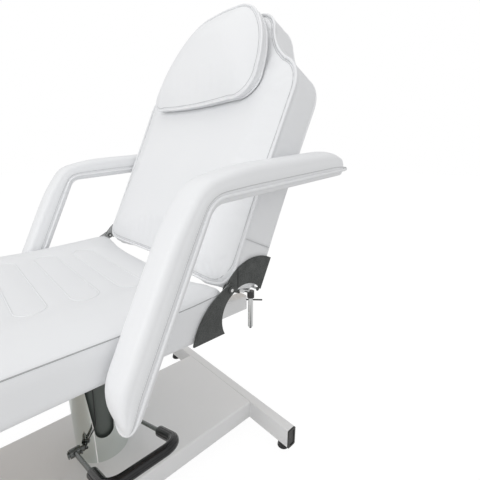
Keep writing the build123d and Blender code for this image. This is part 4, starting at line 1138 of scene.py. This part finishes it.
# %% Armrest sweep
def ring_piece(name, points):
    """A closed ring of points, left selected in edit mode."""
    bpy.ops.object.select_all(action="DESELECT")
    bpy.ops.mesh.primitive_circle_add(vertices=len(points), radius=0.05, fill_type="NOTHING")
    thing = start_piece(name)
    move_to(thing, points)
    edit_all()
    return thing


def section_at(origin, way, section):
    """Section points set square on the armrest's line, with the pad's crown outwards from the bend."""
    up = Vector((0, -way.z, way.y))
    return [origin + Vector((x, 0, 0)) + up * y for x, y in section]


def half_ring(name, origin, way, section):
    """Spin half a section round one end of the armrest."""
    end = ring_piece(name, section_at(origin, way, section))
    bpy.ops.mesh.spin(steps=14, angle=math.pi, center=origin, axis=Vector((0, -way.z, way.y)))
    bpy.ops.object.mode_set(mode="OBJECT")
    return end


def run_on(way, length):
    """Extrude the selected ring in 16 equal steps."""
    for _ in range(16):
        bpy.ops.mesh.extrude_region_move(TRANSFORM_OT_translate={"value": way * length / 16})


def armrest_piece(name, half, taper, thinned):
    """One bent pad. Only the low end's half ring turns outwards: at the rear the cover ends flat."""
    closed = [(x, half[0][1]) for x in (0, half[0][0] * 0.5)] + half
    across = Vector((ARM_X, 0, 0))
    end = half_ring(name + "_rear", arm_rear + across, top_way, closed)
    tip = half_ring(name + "_low", arm_low + across, -front_way, closed)
    left = [(-x, y) for x, y in reversed(closed) if x > 0]
    body = ring_piece(name, section_at(arm_rear + across, top_way, closed + left))
    run_on(-top_way, TOP_RUN - TRIM)
    bpy.ops.mesh.spin(steps=14, angle=TURN, center=bend_centre + across, axis=(-1, 0, 0))
    run_on(front_way, FRONT_RUN - TRIM)
    bpy.ops.object.mode_set(mode="OBJECT")
    bpy.ops.object.select_all(action="DESELECT")
    for thing in (end, tip, body):
        thing.select_set(True)
    bpy.context.view_layer.objects.active = body
    bpy.ops.object.join()
    edit_all()
    bpy.ops.mesh.remove_doubles(threshold=0.0004)
    bpy.ops.mesh.dissolve_degenerate(threshold=0.0001)
    face_outwards()
    move_to(body, arm_shape(positions(body), taper, thinned))
    print(name, "size", [round(v, 3) for v in np.ptp(positions(body), axis=0)])
    return body


arm_pad_left = armrest_piece("arm_pad_left_cover", pad_section(), *PAD_BOW)
arm_base_left = armrest_piece("arm_base_left_cover", base_section(), *BASE_BOW)


# %% [markdown]
# ### The armrest's line and its trims
# The piping runs all the way round the rim, and a row of stitching keeps the same small distance from it.
# Both need the rim's line, which runs along the top, round the bend, down the front and back beside it.


# %% Armrest rim
def arm_line(across, up, step=0.016):
    """Points round the armrest at a distance across and above its board, as a closed loop."""
    def at(origin, way, x, y):
        return origin + Vector((ARM_X + x, 0, 0)) + Vector((0, -way.z, way.y)) * y

    side = []
    bows = [math.pi * k / 12 for k in range(1, 12)]
    run = TOP_RUN - TRIM
    for k in range(int(run / step)):
        side.append((arm_rear - top_way * run * k / int(run / step), top_way))
    for k in range(17):
        turned = Matrix.Rotation(TURN * k / 16, 3, "X")
        side.append((bend_centre + turned @ (bend_start - bend_centre), turned @ top_way))
    run = FRONT_RUN - TRIM
    for k in range(1, int(run / step) + 1):
        side.append((arm_low - front_way * run * (1 - k / int(run / step)), -front_way))
    loop = [at(o, w, across, up) for o, w in side]
    for t in bows:
        loop.append(at(arm_low + front_way * across * math.sin(t), -front_way, across * math.cos(t), up))
    loop += [at(o, w, -across, up) for o, w in reversed(side)]
    for t in bows:
        loop.append(at(arm_rear + top_way * across * math.sin(t), top_way, -across * math.cos(t), up))
    return loop


arm_piping_left = piping("arm_piping_left", arm_line(0.0333, 0.0), PIPE)
arm_stitch_left = piping("arm_stitch_left", arm_shape(arm_line(0.0345, 0.0095), *PAD_BOW), FINE_THREAD)
print("armrest rim has", len(arm_line(0.0333, 0.0)), "points")


# %% Armrest finish and the other side
for thing in (arm_pad_left, arm_base_left):
    subdivide(thing, 2)
    write_seam(thing, np.zeros(len(thing.data.vertices)))
    smooth(thing, 60)


def other_side(thing):
    """The same piece on the sitter's right: a copy with its own mesh, mirrored across the chair."""
    twin = thing.copy()
    twin.data = thing.data.copy()
    twin.name = twin.data.name = thing.name.replace("left", "right")
    bpy.context.collection.objects.link(twin)
    only(twin)
    twin.scale = (-1, 1, 1)
    bpy.ops.object.transform_apply(location=True, rotation=True, scale=True)
    bpy.ops.object.mode_set(mode="EDIT")
    face_outwards()
    return twin


left_trims = [arm_pad_left, arm_base_left, arm_piping_left, arm_stitch_left]
right_trims = [other_side(thing) for thing in left_trims]
for side, trims in (("left", left_trims), ("right", right_trims)):
    pad, base, pipe, stitch = trims
    dress(pad, "armrest_" + side, "arm_pad_" + side, fill=0.9)
    dress(base, "armrest_" + side, "arm_base_" + side, fill=0.7)
    dress(pipe, "armrest_" + side)
    dress(stitch, "armrest_" + side, finish=stitching)

# %% [markdown]
# ## Studio
# The floor is a plain pale sheet. Product pictures often have a pure white ground.
# One way to get it is to overexpose everything, which would burn out a white chair.
# Here the floor's own material is white for the camera and for mirrors, and only part of its shading shows,
# so the shadow under the feet stays soft.

# %% Floor and light
bpy.ops.object.select_all(action="DESELECT")
bpy.ops.mesh.primitive_plane_add(size=30, location=(0, 0, 0))
floor = start_piece("studio_floor")
ground = Finish("studio_white")
ground.set(Base_Color=rgb(0.76, 0.76, 0.76), Roughness=0.9)
white = ground.node("ShaderNodeEmission", {}, {"Color": rgb(1, 1, 1), "Strength": 1.06})
seen = ground.node("ShaderNodeLightPath", {}, {}, "Is Camera Ray")
mirrored = ground.node("ShaderNodeLightPath", {}, {}, "Is Glossy Ray")
shaded = Value(ground, ground.shader.outputs[0])
share = seen * 0.9 + mirrored * 0.3
both = ground.node("ShaderNodeMixShader", {}, {0: share, 1: shaded, 2: white})
ground.tree.links.new(both.socket, ground.tree.nodes["Material Output"].inputs["Surface"])
floor.data.materials.append(ground.material)
floor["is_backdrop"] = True

world = bpy.data.worlds.new("studio_room")
bpy.context.scene.world = world
world.use_nodes = True
sky = world.node_tree
room = sky.nodes["Background"]
path = sky.nodes.new("ShaderNodeLightPath")
bright = sky.nodes.new("ShaderNodeMapRange")
bright.inputs["To Min"].default_value = 0.69
bright.inputs["To Max"].default_value = 1.0
sky.links.new(path.outputs["Is Camera Ray"], bright.inputs["Value"])
sky.links.new(bright.outputs[0], room.inputs["Strength"])
room.inputs["Color"].default_value = (1, 1, 1, 1)


def softbox(name, place, aim, size, power):
    lamp = bpy.data.lights.new(name, "AREA")
    lamp.shape = "RECTANGLE"
    lamp.size, lamp.size_y = size
    lamp.energy = power
    box = bpy.data.objects.new(name, lamp)
    bpy.context.collection.objects.link(box)
    box.location = place
    box.rotation_euler = (Vector(aim) - Vector(place)).to_track_quat("-Z", "Y").to_euler()
    return box


softbox("key_box", (0.8, -2.6, 1.7), aim=(0, 0.2, 0.6), size=(2.2, 1.8), power=34)
softbox("side_box", (2.6, 0.4, 1.6), aim=(0, 0.2, 0.6), size=(1.6, 1.6), power=3)
softbox("top_box", (-0.4, 0.6, 3.0), aim=(0, 0.2, 0.5), size=(2.4, 2.4), power=10)

# %% View settings and sizes
bpy.context.scene.view_settings.view_transform = "Standard"
low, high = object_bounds()
print("visual box", [round(v, 3) for v in (*low, *high)])
